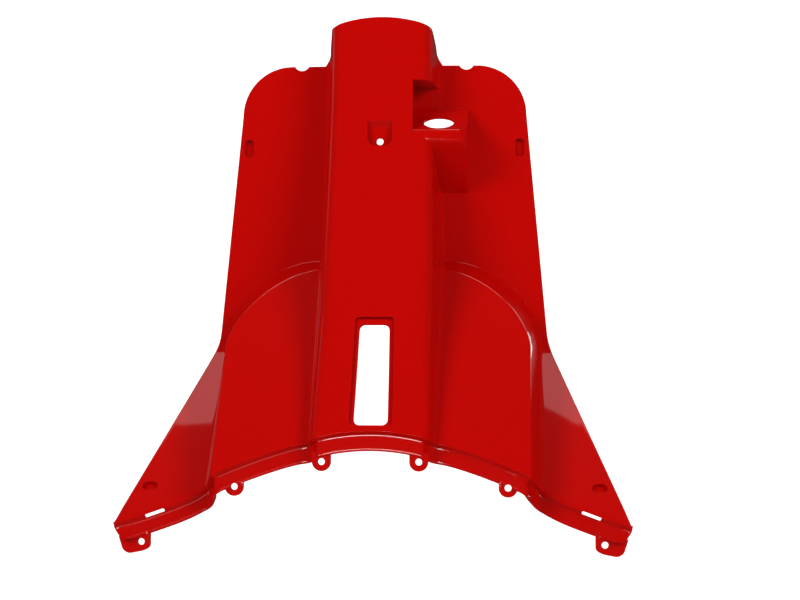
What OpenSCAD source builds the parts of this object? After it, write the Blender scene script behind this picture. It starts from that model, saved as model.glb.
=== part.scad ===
// Inner leg shield of a small scooter: one moulded shell with a steering column, two wings and a raised footwell.
// Heights are measured from the middle of the lower step, depths toward the rider from the flat of the wings.
// At the end everything is moved so that the seat of the column screw is the origin.

/* [Outline] */
// Height of the level top edge of the wings
wing_h = 380; // [365:1:392]
// Height of the column crown above the top edge of the wings
crown_up = 42; // [34:1:58]
// Half width of the wings just under their top corners
wing_half = 147; // [138:1:160]
// Half width at the waist, where the flares begin
waist_half = 169; // [166:1:185]
// Height of the waist above the lower step
waist_z = 90; // [84:1:96]
// Half width at the lower corners
corner_half = 246; // [225:1:270]
// Drop of the lower corners under the middle of the step
corner_drop = 89; // [78:1:100]
// Radius of the top corners of the wings
top_r = 50; // [30:1:60]
// Depth of the lip turned back round the wings
lip_d = 9; // [6:0.5:12]
// Wall of the whole moulding
wall = 2.6; // [2:0.1:3.2]

/* [Column] */
// Depth of the column face in front of the wings at its top
face_top = 45; // [38:1:55]
// Radius of the long sweep of the column face
sweep_r = 880; // [820:10:1100]
// Half width of the column at its top
col_top = 51.5; // [46:0.5:56]
// Half width of the column from its middle down
col_low = 57; // [52:0.5:60]
// Radius of the long edges of the column
col_r = 15; // [10:0.5:20]
// Slope of the column sides, millimetres out for each millimetre back
col_draft = 0.12; // [0.08:0.01:0.16]
// Fillet between column and wing
col_fillet = 8; // [5:0.5:11]
// Rise of the crown over the column edges
crown_rise = 12; // [6:1:18]

/* [Footwell] */
// Slope of the ramp under the waist, depth for each millimetre of height
ramp = 0.83; // [0.65:0.01:1]
// Half height of the soft bend between wing and ramp
bend = 34; // [20:1:45]
// Height of the raised footwell over the wings at its top
pad_h = 22; // [16:1:30]
// Slope of the raised footwell, depth for each millimetre of height
pad_slope = 0.64; // [0.58:0.01:0.7]
// From the edge of the waist in to the edge of the raised footwell
pad_margin = 14; // [13.5:0.5:24]
// Height of the footwell shoulder at the column
pad_top = 165; // [150:1:180]
// Height where the side of the footwell starts to round over
pad_turn = 78; // [66:1:86]
// Width of the sloped wall round the footwell
pad_wall = 12; // [8:0.5:13]

/* [Lower edge] */
// Drop of the step line at the column side
step_side = 12; // [8:1:16]
// Drop of the step line at the edge of the footwell
step_pad = 42; // [34:1:50]
// Set-back of the flange under the step
step_back = 5; // [3.5:0.5:7]
// Height of the flange
flange_h = 16; // [12:1:22]

/* [Column screw] */
// Height of the column screw
screw_z = 293; // [270:1:312]
// Hole of the column screw
screw_d = 7; // [4.5:0.5:9]
// Depth of the screw pocket behind the column face
pocket_d = 7; // [5:0.5:12]
// Width of the screw pocket
pocket_w = 25; // [18:1:34]
// Height of the screw pocket above the screw
pocket_up = 15; // [12:1:18]

/* [Window] */
// Height of the top of the window
window_top = 103; // [60:1:130]
// Height of the bottom of the window
window_low = 5; // [3:0.5:12]
// Width of the window at its top
window_w = 29; // [22:0.5:36]
// Extra width of the window at its bottom
window_flare = 3.5; // [0:0.5:6]
// Width of the sunk frame round the window
frame_w = 4.5; // [3:0.5:6]
// Height of the sunk frame above the window
frame_top = 8; // [5:0.5:12]
// Depth of the sunk frame
frame_d = 4; // [2.5:0.5:6]

/* [Lock pod] */
// Distance of the lock from the middle of the column
lock_x = 59; // [54:0.5:64]
// Drop of the middle of the lock hole under the top edge of the wings
lock_drop = 65; // [58:1:80]
// Depth of the middle of the lock hole in front of the wings
lock_t = 33; // [28:0.5:35]
// Lock hole
lock_d = 31; // [22:0.5:34]
// Lean of the lock axis above the level
lock_lean = 58; // [50:1:65]
// Half width of the lock shelf to the outside
pod_side = 29; // [24:1:34]
// Width of the lock shelf inside the column
pod_in = 26; // [22:1:30]
// Height of the front face of the pod
pod_front = 10; // [6:1:16]
// Height of the whole pod under the lock
pod_low = 69; // [55:1:85]
// Height of the key recess above the lock
key_up = 42; // [34:1:50]

/* [Ears and slots] */
// Holes in the six ears
ear_hole = 6.5; // [4.5:0.5:8]
// Radius of the round ears
ear_r = 9; // [7:0.5:10]
// Drop of the inner ear holes under the flange
ear_in_drop = 5; // [3:0.5:7]
// Drop of the middle ear holes under the flange
ear_mid_drop = 2; // [0:0.5:5]
// Drop of the outer ear holes under the flange
ear_out_drop = 6; // [4:0.5:10]
// Length of the hook slots
slot_l = 19; // [12:0.5:24]
// Height of the hook slots
slot_h = 3; // [2:0.25:4]
// Depth of the four finger dimples
dimple_d = 2; // [1:0.25:3]
// Drop of the upper dimples under the top edge of the wings
dimple_drop = 85; // [70:1:120]
// Rise of the lower dimples above the lower corners
dimple_rise = 35; // [26:1:50]

/* [Hidden] */
pad_p = 1.75;
crown_h = wing_h + crown_up;
pad_half = waist_half - pad_margin;
lock_z = wing_h - lock_drop;
n_pad = 6;
n_band = 4;
n_flare = 6;
n_low = 8;
n_up = 10;
n_col = 10;
i_pad = n_col + n_pad;
i_band = i_pad + n_band;
i_edge = i_band + n_flare;
j_step = 2;
j_pad = j_step + n_low;
j_band = j_pad + n_band;
j_edge = j_band + n_up;

function mix(a, b, f) = a + (b - a) * f;
function clamp(x) = min(1, max(0, x));
function soft(x) = let (c = clamp(x)) c * c * (3 - 2 * c);

// Depth of the wings and of the ramp below them, without the wrap
function ramp_t(z) =
    let (d = waist_z + bend - z)
    d <= 0 ? 0 : d < 2 * bend ? ramp * d * d / (4 * bend) : ramp * (d - bend);
// Depth with the edges of the wings drawn back a little
function base_t(x, z) = ramp_t(z) - 9 * pow(clamp((abs(x) - 60) / 120), 2);
// Half width of the outline at a height
function edge_x(z) =
    let (up = (waist_half - wing_half) / (wing_h - top_r - waist_z),
         out = (corner_half - waist_half) / (corner_drop + waist_z),
         d = waist_z + 14 - z)
    waist_half + up * (waist_z - z) + (out - up) * (d <= 0 ? 0 : d < 28 ? d * d / 56 : d - 14);
// Depth of the column face
function face_t(z) =
    let (s = crown_h - z)
    face_top + sweep_r - sqrt(sweep_r * sweep_r - s * s);
function col_half(z) = mix(col_low, col_top, soft((z - 150) / 240));
function side_x(z, t) = col_half(z) + col_draft * (face_t(z) - t);
// Where the column side meets the wing or the footwell
function foot_x(z, t) = side_x(z, t) + col_fillet * 0.8;

// Rounded shoulder of the footwell: 0 at the column, 1 at its side
function arch(q, x0, x1, z0, z1) =
    [x0 + (x1 - x0) * pow(sin(90 * q), 2 / pad_p), z0 + (z1 - z0) * pow(cos(90 * q), 2 / pad_p)];
pad_x0 = foot_x(pad_top, pad_h);
out_x0 = foot_x(pad_top + pad_wall + 2, 0);
out_top = pad_top + pad_wall + 2;
out_half = pad_half + pad_wall;
out_drop = step_pad + 15;
function crease(q) = arch(q, pad_x0, pad_half, pad_turn, pad_top);
function outer(q) = arch(q, out_x0, out_half, pad_turn + 2, out_top);
// Side of the footwell from the step up to the middle of the shoulder
function side_line(v, low, half, arc_z, q_of) =
    v < 0.65 ? [half, mix(low, arc_z, v / 0.65)] : q_of;
function crease_side(v) =
    side_line(v, -step_pad, pad_half, pad_turn, crease(mix(1, 0.5, (v - 0.65) / 0.35)));
function outer_side(v) =
    side_line(v, -out_drop, out_half, pad_turn + 2, outer(mix(1, 0.54, (v - 0.65) / 0.35)));
// Outline from the waist side up to the middle of the top corner
edge_mid = outer(0.5)[1] + 4;
arc_c = [wing_half - top_r, wing_h - top_r];
function top_line(f) =
    f < 0.34 ? [mix(top_in, arc_c[0], f / 0.34), wing_h]
             : arc_c + top_r * [sin(45 * (f - 0.34) / 0.66), cos(45 * (f - 0.34) / 0.66)];
function edge_up(v) =
    v < 0.6 ? let (z = mix(edge_mid, arc_c[1], v / 0.6)) [edge_x(z), z]
            : arc_c + top_r * [cos(112.5 * (v - 0.6)), sin(112.5 * (v - 0.6))];
function edge_down(v) = let (z = mix(-corner_drop, edge_mid, v)) [edge_x(z), z];
top_in = 84;

// Patch stretched between four edges
function patch(f, v, b, t, l, r, c00, c10, c01, c11) =
    (1 - v) * b + v * t + (1 - f) * l + f * r
    - (1 - f) * (1 - v) * c00 - f * (1 - v) * c10 - (1 - f) * v * c01 - f * v * c11;

// Shares of the shoulder line taken by the rows and lines beside its middle
q_in = 0.46;
q_out = 0.54;
wall_s = [0, 0.12, 0.5, 0.88, 1];
function wall_h(s) = lookup(s, [[0, 1], [0.12, 0.93], [0.5, 0.5], [0.88, 0.07], [1, 0]]);
face_f = [0, 0.4, 0.75, 1];
arc_a = [28, 56, 83];

function foot_t(z) = pad_h + pad_slope * (pad_top - z);
low_foot = foot_x(-step_side, foot_t(-step_side));
up_foot = foot_x(wing_h, 0);
function low_side(v) = let (z = mix(-step_side, pad_top, v)) [foot_x(z, foot_t(z)), z];
function up_side(v) = let (z = mix(out_top, wing_h, v)) [foot_x(z, 0), z];
function step_line(f) = [mix(low_foot, pad_half, f), -mix(step_side, step_pad, pow(f, 1.25))];
function flare_line(f) = [mix(out_half, corner_half, f), -mix(out_drop, corner_drop, pow(f, 0.75))];

// Share along the shoulder for line i, and down its side for row j
function q_line(i) = i <= i_pad ? q_in * (i - n_col) / n_pad : mix(q_in, 0.5, (i - i_pad) / n_band);
function outer_row(j) =
    j <= j_pad ? outer_side((j - j_step) / n_low) : outer(mix(q_out, 0.5, (j - j_pad) / n_band));
function flare_v(j) = j <= j_pad ? 0.92 * (j - j_step) / n_low : mix(0.92, 1, (j - j_pad) / n_band);

function panel_xz(f, v) =
    patch(f, v, step_line(f), crease(f / 2), low_side(v), crease_side(v),
          step_line(0), step_line(1), crease(0), crease(0.5));
function wing_xz(q, v) =
    let (f = q * 2)
    patch(f, v, outer(q), [mix(up_foot, top_in, f), wing_h], up_side(v),
          mix(outer(0.5), [top_in, wing_h], v), outer(0), outer(0.5), [up_foot, wing_h], [top_in, wing_h]);
function tip_xz(f, v) =
    patch(f, v, mix(outer(0.5), edge_up(0), f), top_line(f), mix(outer(0.5), [top_in, wing_h], v),
          edge_up(v), outer(0.5), edge_up(0), [top_in, wing_h], top_line(1));
function flare_xz(f, j) =
    let (v = flare_v(j))
    patch(f, v, flare_line(f), mix(outer(0.5), edge_up(0), f), outer_row(j), edge_down(v),
          flare_line(0), flare_line(1), outer(0.5), edge_up(0));
function shoulder_xz(a, b) =
    patch(a, b, mix(crease(0.5), outer(q_out), a), outer(mix(q_in, 0.5, a)), mix(crease(0.5), outer(q_in), b),
          outer(mix(q_out, 0.5, b)), crease(0.5), outer(q_out), outer(q_in), outer(0.5));

// Place of a node outside the column, as [x, z, share of the footwell height]
function plan(i, j) =
    let (f = (i - n_col) / n_pad,
         v = (j - j_step) / n_low,
         fw = (i - i_band) / n_flare,
         vu = (j - j_band) / n_up)
    i <= i_pad && j <= j_pad ? concat(panel_xz(f, v), [1]) :
    i <= i_pad && j <= j_band ?
        concat(mix(crease(f / 2), outer(q_line(i)), wall_s[j - j_pad]), [wall_h(wall_s[j - j_pad])]) :
    i <= i_band && j <= j_pad ?
        concat(mix(crease_side(v), outer_side(v), wall_s[i - i_pad]), [wall_h(wall_s[i - i_pad])]) :
    i <= i_band && j <= j_band ?
        let (a = wall_s[i - i_pad], b = wall_s[j - j_pad]) concat(shoulder_xz(a, b), [wall_h(a + b - a * b)]) :
    i <= i_band ? concat(wing_xz(q_line(i), vu), [0]) :
    j <= j_band ? concat(flare_xz(fw, j), [0]) :
    concat(tip_xz(fw, vu), [0]);
// The same node in space, with the depth toward the rider as -y
function skin(i, j) =
    let (p = plan(i, j),
         h = p[2] * (foot_t(min(p[1], pad_top)) - ramp_t(p[1])))
    [p[0], -base_t(p[0], p[1]) - h, p[1]];

// Node k of row j across half the column, from its middle to its foot
function column(k, j) =
    let (foot = skin(n_col, j),
         w = clamp((foot[2] + step_side) / (wing_h + step_side)),
         rise_s = mix(4, crown_h - crown_rise - wing_h, w),
         rise_f = mix(step_side - 4, crown_rise, w),
         z_e = foot[2] + rise_s,
         a = col_half(z_e),
         t_e = face_t(z_e) - 4,
         t_b = -foot[1],
         r = min(col_r, 0.45 * (t_e - t_b)),
         rf = min(col_fillet, 0.3 * (t_e - t_b)),
         x_s = foot[0] - 0.8 * col_fillet,
         t_s = t_b + rf,
         t_a = t_e - r + r * cos(arc_a[2]),
         x_a = a - r + r * sin(arc_a[2]))
    k <= 3 ? let (x = face_f[k] * (a - r), z = z_e + rise_f * (1 - pow(x / a, 2)))
             [x, -face_t(z) + 4 * pow(x / a, 2), z] :
    k <= 6 ? let (x = a - r + r * sin(arc_a[k - 4]), z = z_e + rise_f * (1 - pow(x / a, 2)))
             [x, -(t_e - r + r * cos(arc_a[k - 4])) - (k < 5 ? 0.6 : 0), z] :
    k <= 8 ? let (s = (k - 6) / 2, t = mix(t_a, t_s, s))
             [mix(x_a, x_s, s), -t, foot[2] + rise_s * pow((t - t_b) / (t_a - t_b), 0.5)] :
    k == 9 ? [x_s + 0.33 * (foot[0] - x_s), -t_b - 0.3 * rf, foot[2] + rise_s * pow(0.3 * rf / (t_a - t_b), 0.5)] :
    foot;

function unit(v) = v / norm(v);
function half_node(i, j) = i < n_col ? column(i, j) : skin(i, j);
function mirror_x(p) = [-p[0], p[1], p[2]];
function full(half) =
    concat([for (i = [len(half) - 1:-1:1]) mirror_x(half[i])], half);
n_i = 2 * i_edge + 1;
body_rows = [for (j = [j_step:j_edge]) full([for (i = [0:i_edge]) half_node(i, j)])];
function grid_normal(g, i, j) =
    let (a = g[j][min(i + 1, n_i - 1)] - g[j][max(i - 1, 0)],
         b = g[min(j + 1, len(g) - 1)][i] - g[max(j - 1, 0)][i])
    unit(cross(a, b));
edge_n = [for (i = [0:n_i - 1]) grid_normal(body_rows, i, 0)];
// The step's direction, evened out over the wall of the footwell
step_n = [for (i = [0:n_i - 1])
    unit(edge_n[max(i - 2, 0)] + edge_n[max(i - 1, 0)] + edge_n[i]
         + edge_n[min(i + 1, n_i - 1)] + edge_n[min(i + 2, n_i - 1)])];
step_row = [for (i = [0:n_i - 1]) body_rows[0][i] - step_n[i] * step_back - [0, 0, 0.6]];
// Lower edge of the flange, cut back at its outer ends
flange_row = [for (p = step_row)
    let (e = clamp((abs(p[0]) - corner_half + 16) / 16)) p - [sign(p[0]) * 8 * e, 0, flange_h * (1 - 0.3 * e)]];
outer_grid = concat([flange_row, step_row], body_rows);
n_j = len(outer_grid);
normals = [for (j = [0:n_j - 1]) [for (i = [0:n_i - 1]) grid_normal(outer_grid, i, j)]];
inner_grid = [for (j = [0:n_j - 1]) [for (i = [0:n_i - 1]) outer_grid[j][i] - normals[j][i] * wall]];

// Rim of the moulding as one closed run of [i, j]
rim = concat([for (j = [0:n_j - 1]) [n_i - 1, j]], [for (i = [n_i - 2:-1:0]) [i, n_j - 1]],
             [for (j = [n_j - 2:-1:0]) [0, j]], [for (i = [1:n_i - 2]) [i, 0]]);
n_rim = len(rim);
function at(g, c) = g[c[1]][c[0]];
function rim_pt(k) = at(outer_grid, rim[(k + n_rim) % n_rim]);
// Share of the turned lip: whole round the wings, none on the column and under the flange
function lip_share(c) =
    let (k = abs(c[0] - i_edge))
    c[1] < 2 || k < 8 ? 0 : c[1] == 2 ? 0.5 : k < n_col ? (k - 7) / 3 : 1;
rim_out = [for (k = [0:n_rim - 1])
    unit(cross(unit(rim_pt(k + 1) - rim_pt(k - 1)), at(normals, rim[k])))];
rim_in = [for (k = [0:n_rim - 1]) at(inner_grid, rim[k]) - rim_out[k] * mix(0.2, wall, lip_share(rim[k]))];
function rim_back(k) =
    let (s = lip_share(rim[k])) mix(-at(normals, rim[k]), [0, 1, 0], s);
rim_a = [for (k = [0:n_rim - 1]) rim_pt(k) + rim_back(k) * 0.9 + rim_out[k] * 0.9];
rim_b = [for (k = [0:n_rim - 1])
    let (s = lip_share(rim[k])) rim_pt(k) + rim_back(k) * mix(wall * 0.8, lip_d, s) + rim_out[k] * mix(0.9, 1.3, s)];
rim_c = [for (k = [0:n_rim - 1])
    let (s = lip_share(rim[k])) rim_b[k] - rim_out[k] * mix(0.4, wall, s) + rim_back(k) * mix(0.3, 0, s)];

function flat(g) = [for (row = g) for (p = row) p];
n_g = n_i * n_j;
points = concat(flat(outer_grid), flat(inner_grid), rim_a, rim_b, rim_c);
function id(i, j) = j * n_i + i;
function rid(g, k) = 2 * n_g + g * n_rim + (k + n_rim) % n_rim;
function oid(k) = let (c = rim[(k + n_rim) % n_rim]) id(c[0], c[1]);
function quad(a, b, c, d) = [[a, b, c], [a, c, d]];
faces = concat(
    [for (j = [0:n_j - 2]) for (i = [0:n_i - 2])
        each quad(id(i, j), id(i, j + 1), id(i + 1, j + 1), id(i + 1, j))],
    [for (j = [0:n_j - 2]) for (i = [0:n_i - 2])
        each quad(n_g + id(i, j), n_g + id(i + 1, j), n_g + id(i + 1, j + 1), n_g + id(i, j + 1))],
    [for (k = [0:n_rim - 1]) each quad(oid(k), oid(k + 1), rid(0, k + 1), rid(0, k))],
    [for (k = [0:n_rim - 1]) each quad(rid(0, k), rid(0, k + 1), rid(1, k + 1), rid(1, k))],
    [for (k = [0:n_rim - 1]) each quad(rid(1, k), rid(1, k + 1), rid(2, k + 1), rid(2, k))],
    [for (k = [0:n_rim - 1]) each quad(rid(2, k), rid(2, k + 1), n_g + oid(k + 1), n_g + oid(k))]);

module shell() {
    polyhedron(points = points, faces = faces, convexity = 12);
}

// Turn a drawing in x and height into a block between two depths
module toward(t0, t1) {
    translate([0, -t0, 0])
        rotate([90, 0, 0])
            linear_extrude(t1 - t0)
                children();
}
// Turn a drawing in depth and height into a block between two places across
module across(x0, x1) {
    translate([x0, 0, 0])
        rotate([90, 0, 90])
            linear_extrude(x1 - x0)
                mirror([1, 0])
                    children();
}
module both() {
    children();
    mirror([1, 0, 0])
        children();
}

seat_t = face_t(screw_z) - pocket_d;
module pocket_side(d, back) {
    polygon([[seat_t - d, screw_z - 5 - d], [seat_t - d, screw_z + pocket_up + d * 0.4],
             [back, screw_z + pocket_up + (back - seat_t) * 3 + d], [back, screw_z - 5 - d]]);
}
module pocket_front(d) {
    w = pocket_w / 2 + d;
    polygon([[-w + 5, screw_z - 5 - d], [w - 5, screw_z - 5 - d], [w, screw_z - d], [w, screw_z + 60],
             [-w, screw_z + 60], [-w, screw_z - d]]);
}
module pocket(d, back) {
    intersection() {
        across(-pocket_w, pocket_w)
            pocket_side(d, back);
        toward(seat_t - d, back)
            pocket_front(d);
    }
}
// Walls of the pocket, ending inside the wall of the column
module pocket_back() {
    difference() {
        pocket(wall, face_t(screw_z));
        sweep(1.6);
    }
}
module column_hole() {
    translate([0, -seat_t + wall * 2, screw_z])
        rotate([90, 0, 0])
            cylinder(h = wall * 4, d = screw_d, $fn = 48);
}

// Window outline grown by a rim at the sides and by another at the top
module window_shape(side, top, low, r) {
    b = window_w / 2 + side - r;
    k = window_flare / 2;
    z0 = window_low - low + r;
    z1 = window_top + top - r;
    for (m = [0, 1])
        mirror([m, 0]) {
            translate([b, z1])
                circle(r, $fn = 32);
            translate([b + k, z0])
                circle(r, $fn = 32);
            polygon([[0, z0 - r], [b + k, z0 - r], [b + k + r, z0], [b + r, z1], [b, z1 + r], [0, z1 + r]]);
        }
}
module sweep(extra) {
    translate([-pocket_w * 2, -face_top - sweep_r, crown_h])
        rotate([0, 90, 0])
            cylinder(h = pocket_w * 4, r = sweep_r + extra, $fn = 256);
}
module window_back() {
    difference() {
        intersection() {
            toward(face_t(window_top + frame_top) - 30, face_t(0) + 2)
                window_shape(frame_w + wall, frame_top + wall, 1.5, 6);
            sweep(frame_d + wall);
        }
        sweep(1.2);
    }
}
module window_cut() {
    intersection() {
        toward(face_t(window_top + frame_top) - 30, face_t(0) + 20)
            window_shape(frame_w, frame_top, 0, 4);
        sweep(frame_d);
    }
    toward(face_t(window_top) - 40, face_t(0) + 20)
        window_shape(0, 0, 0, 5.5);
}

shelf_k = 1 / tan(lock_lean);
pod_t = min(face_t(lock_z) - 1.2, lock_t + 20);
pod_x0 = lock_x - pod_in;
pod_x1 = lock_x + pod_side;
function shelf_z(t) = lock_z - (t - lock_t) * shelf_k;
// Side view of the pod, drawn in by a wall; the top is cut later by the key recess
module pod_side_view(d, top) {
    low = shelf_z(pod_t) - pod_front;
    k = (low - lock_z + pod_low) / (pod_t + 1);
    e = d * sqrt(1 + k * k);
    polygon([[-1 - d * 2, lock_z - pod_low + e - d * k * 2], [pod_t - d, low + e - d * k],
             [pod_t - d, shelf_z(pod_t - d) + top], [-1 - d * 2, shelf_z(-1 - d * 2) + top]]);
}
module pod_plan(d) {
    r = 12;
    translate([pod_x0 + d, -pod_t - 5])
        square([pod_x1 - r - pod_x0 - d, pod_t + 20]);
    translate([pod_x0 + d, -pod_t + r])
        square([pod_x1 - d - pod_x0 - d, pod_t + 10]);
    translate([pod_x1 - r, -pod_t + r])
        circle(r - d, $fn = 48);
}
module pod(d, top) {
    intersection() {
        across(pod_x0 + d, pod_x1 - d)
            pod_side_view(d, top);
        translate([0, 0, lock_z - 120])
            linear_extrude(240)
                pod_plan(d);
    }
}
// Plan of the column at the top of the key recess, just inside its skin
module column_plan(z) {
    edge = side_x(z, face_t(z)) - col_r;
    face = face_t(z) - 4 - col_r;
    polygon(concat([[0, wall], [foot_x(z, 0) + 1, wall], [foot_x(z, 0) + 1, 0.3], [side_x(z, 0) - 0.4, 0.3]],
                   [for (a = [0:15:90]) [edge + (col_r - 0.4) * cos(a), -face - (col_r - 0.4) * sin(a)]],
                   [[0, -face - col_r + 0.4]]));
}
module key_back() {
    intersection() {
        across(pod_x0 - wall, foot_x(lock_z, 0) + 4)
            polygon([[-wall, shelf_z(0) - wall * 2], [pod_t, shelf_z(pod_t) - wall * 2],
                     [pod_t, lock_z + key_up + wall], [-wall, lock_z + key_up + wall]]);
        translate([0, 0, lock_z - 60])
            linear_extrude(120)
                column_plan(lock_z + key_up);
    }
}
module key_cut() {
    across(pod_x0, pod_x1 + 12)
        polygon([[0.4, shelf_z(0.4)], [pod_t + 20, shelf_z(pod_t + 20)],
                 [pod_t + 20, lock_z + key_up], [0.4, lock_z + key_up]]);
}
module lock_hole() {
    translate([lock_x, -lock_t, lock_z])
        rotate([90 - lock_lean, 0, 0])
            translate([0, 0, -wall * 3])
                cylinder(h = wall * 3 + 4, d = lock_d, $fn = 64);
}

// Point of the flange's lower edge or of the step, at a share u of the lines from the middle
function run_at(row, u) =
    let (k = floor(u)) mix(row[i_edge + k], row[i_edge + k + 1], u - k);
in_ear = run_at(flange_row, 2.9) - [0, 0, ear_in_drop];
mid_ear = run_at(flange_row, n_col + n_pad * 0.73) - [0, 0, ear_mid_drop];
out_ear = run_at(flange_row, i_band + n_flare * 0.69) - [0, 0, ear_out_drop];
slot_a = run_at(step_row, i_band + n_flare * 0.4);
slot_b = run_at(step_row, i_band + n_flare * 0.66);
slot_c = (slot_a + slot_b) / 2 + [0, 0, 1];
slot_turn = atan2(slot_a[2] - slot_b[2], slot_b[0] - slot_a[0]);

module round_ear(p) {
    toward(-p[1] - wall - 1.2, -p[1] - 0.8)
        translate([p[0], p[2]]) {
            circle(ear_r, $fn = 48);
            translate([-ear_r, 0])
                square([ear_r * 2, 8]);
        }
}
module ears() {
    round_ear(in_ear);
    // Root that ties the inner ear to the side of the column
    toward(-in_ear[1] - 16, -in_ear[1] - 1)
        translate([in_ear[0], in_ear[2] + 6])
            square([ear_r, 3]);
    round_ear(mid_ear);
    toward(-out_ear[1] - wall - 1.4, -out_ear[1] - 0.8)
        translate([out_ear[0], out_ear[2]]) {
            circle(ear_r, $fn = 48);
            translate([13, -6.5])
                circle(5, $fn = 32);
            polygon([[-ear_r, 12], [-ear_r, 0], [-2.6, -8.6], [12, -11.4], [17.8, -8], [22, 5], [12, 12]]);
        }
}
module ear_holes() {
    for (p = [in_ear, mid_ear, out_ear])
        translate([p[0], p[1] + 12, p[2]])
            rotate([90, 0, 0])
                cylinder(h = 24, d = ear_hole, $fn = 48);
}
module slots() {
    translate([slot_c[0], slot_c[1], slot_c[2]])
        rotate([0, slot_turn, 0])
            cube([slot_l, 30, slot_h], center = true);
}
module notch() {
    toward(-30, 30)
        translate([86, wing_h + 4.5])
            circle(8, $fn = 48);
}

// Long shallow cup sunk along the slope of the wing at a place
module cup(x, z, w, h, d, up) {
    slope = (ramp_t(z - 1) - ramp_t(z + 1)) / 2;
    translate([x, -base_t(x, z), z])
        rotate([-atan(slope), 0, 0])
            translate([0, d, 0])
                rotate([90, 0, 0])
                    linear_extrude(up)
                        for (s = [-1, 1])
                            translate(w > h ? [s * (w - h) / 2, 0] : [0, s * (h - w) / 2]) {
                                circle(d = min(w, h), $fn = 32);
                                translate(w > h ? [-s * (w - h) / 4, 0] : [0, -s * (h - w) / 4])
                                    square(w > h ? [(w - h) / 2, h] : [w, (h - w) / 2], center = true);
                            }
}
dimple_z = [wing_h - dimple_drop, dimple_rise - corner_drop];
module dimples(grow, d, up) {
    cup(edge_x(dimple_z[0]) - 9, dimple_z[0], 10 + grow, 19 + grow, d, up);
    cup(edge_x(dimple_z[1]) - 13, dimple_z[1], 15 + grow, 11 + grow, d, up);
}

module leg_shield() {
    color("red")
        translate([0, seat_t, -screw_z])
            difference() {
                union() {
                    shell();
                    pocket_back();
                    window_back();
                    pod(0, 0.3);
                    key_back();
                    both()
                        ears();
                    both()
                        dimples(2 * wall, dimple_d + wall, dimple_d + wall - 0.8);
                }
                pocket(0, face_t(screw_z) + 12);
                column_hole();
                window_cut();
                pod(wall, -wall * sqrt(1 + shelf_k * shelf_k));
                key_cut();
                lock_hole();
                both()
                    ear_holes();
                both()
                    slots();
                both()
                    notch();
                both()
                    dimples(0, dimple_d, dimple_d + 6);
            }
}

leg_shield();
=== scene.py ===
"""Studio scene of a scooter's inner leg shield: one glossy red moulding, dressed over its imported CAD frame.

Shapes are worked out in millimetres in the moulder's own frame: x to the right as the rider sees it, t the depth
toward the rider from the flat of the wings, z the height above the middle of the lower step. The last step of every
mesh turns them into metres in the row frame, whose origin is the seat of the column screw.
"""

from __future__ import annotations

import logging
import math
import sys
from dataclasses import dataclass, field
from enum import Enum

import bmesh
import bpy
import numpy as np
from mathutils import Matrix, Vector

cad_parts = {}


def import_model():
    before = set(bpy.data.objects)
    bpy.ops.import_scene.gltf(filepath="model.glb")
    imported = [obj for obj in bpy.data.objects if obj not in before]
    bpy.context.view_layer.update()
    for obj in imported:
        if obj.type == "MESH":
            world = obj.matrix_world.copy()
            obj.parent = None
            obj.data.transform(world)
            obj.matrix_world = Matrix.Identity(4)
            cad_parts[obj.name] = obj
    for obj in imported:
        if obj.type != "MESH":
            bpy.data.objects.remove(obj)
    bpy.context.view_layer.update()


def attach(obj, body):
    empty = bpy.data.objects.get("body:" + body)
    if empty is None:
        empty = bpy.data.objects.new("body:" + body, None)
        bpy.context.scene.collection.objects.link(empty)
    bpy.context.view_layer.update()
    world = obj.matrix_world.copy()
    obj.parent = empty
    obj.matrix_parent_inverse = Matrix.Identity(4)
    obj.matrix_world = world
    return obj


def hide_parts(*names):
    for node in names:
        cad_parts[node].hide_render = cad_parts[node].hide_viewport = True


LOG = logging.getLogger("leg_shield")
MM = 0.001
Profile = list[tuple[float, float]]
Mesh, Tree = bpy.types.Mesh, bpy.types.NodeTree


def mix(a, b, f):
    """Returns the value a share f of the way from a to b; arrays work too."""
    return a + (b - a) * f


def soft(x):
    """Returns the smooth step of x, 0 under 0 and 1 over 1."""
    c = np.clip(x, 0.0, 1.0)
    return c * c * (3 - 2 * c)


def pair(x, z) -> np.ndarray:
    """Returns x and z stacked along a last axis, spread to one shape."""
    x, z = np.broadcast_arrays(np.asarray(x, float), np.asarray(z, float))
    return np.stack([x, z], axis=-1)


def unit(v: np.ndarray) -> np.ndarray:
    """Returns the vectors along the last axis at length 1."""
    return v / np.maximum(np.linalg.norm(v, axis=-1, keepdims=True), 1e-12)


def knee(d, r: float):
    """Returns 0 for d under 0 and d - r for d over 2 r, with a parabola between them."""
    return np.where(d <= 0, 0.0, np.where(d < 2 * r, d * d / (4 * r), d - r))


def bezier(a, b, c, f):
    """Returns the value at share f of a curve from a to c that leans toward b."""
    return a * (1 - f) ** 2 + b * 2 * f * (1 - f) + c * f * f


def shares(n: int) -> np.ndarray:
    """Returns n even shares from 0, without the 1 at their end."""
    return np.arange(n) / n


def line(a, b):
    """Returns the function that gives the point of a straight line from a to b at a share."""
    return lambda f: mix(a, b, np.asarray(f)[..., None])


def coons(f, v, low, top, left, right) -> np.ndarray:
    """Fills a patch between four edges.

    Args:
        f: shares across, already spread to the shape of the patch.
        v: shares up, in the same shape.
        low, top: functions that give the points of these edges at shares across, with x and z last.
        left, right: points of these edges at the shares up.

    Returns:
        The points of the patch, with x and z last.
    """
    g, w = f[..., None], v[..., None]
    return (
        (1 - w) * low(f) + w * top(f) + (1 - g) * left + g * right
        - (1 - g) * (1 - w) * low(0.0) - g * (1 - w) * low(1.0) - (1 - g) * w * top(0.0) - g * w * top(1.0)
    )


def mesh_of(name: str, points: list, faces: list) -> Mesh:
    """Builds a mesh from its points and faces."""
    mesh = bpy.data.meshes.new(name)
    mesh.from_pydata(points, [], faces)
    return mesh


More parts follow.
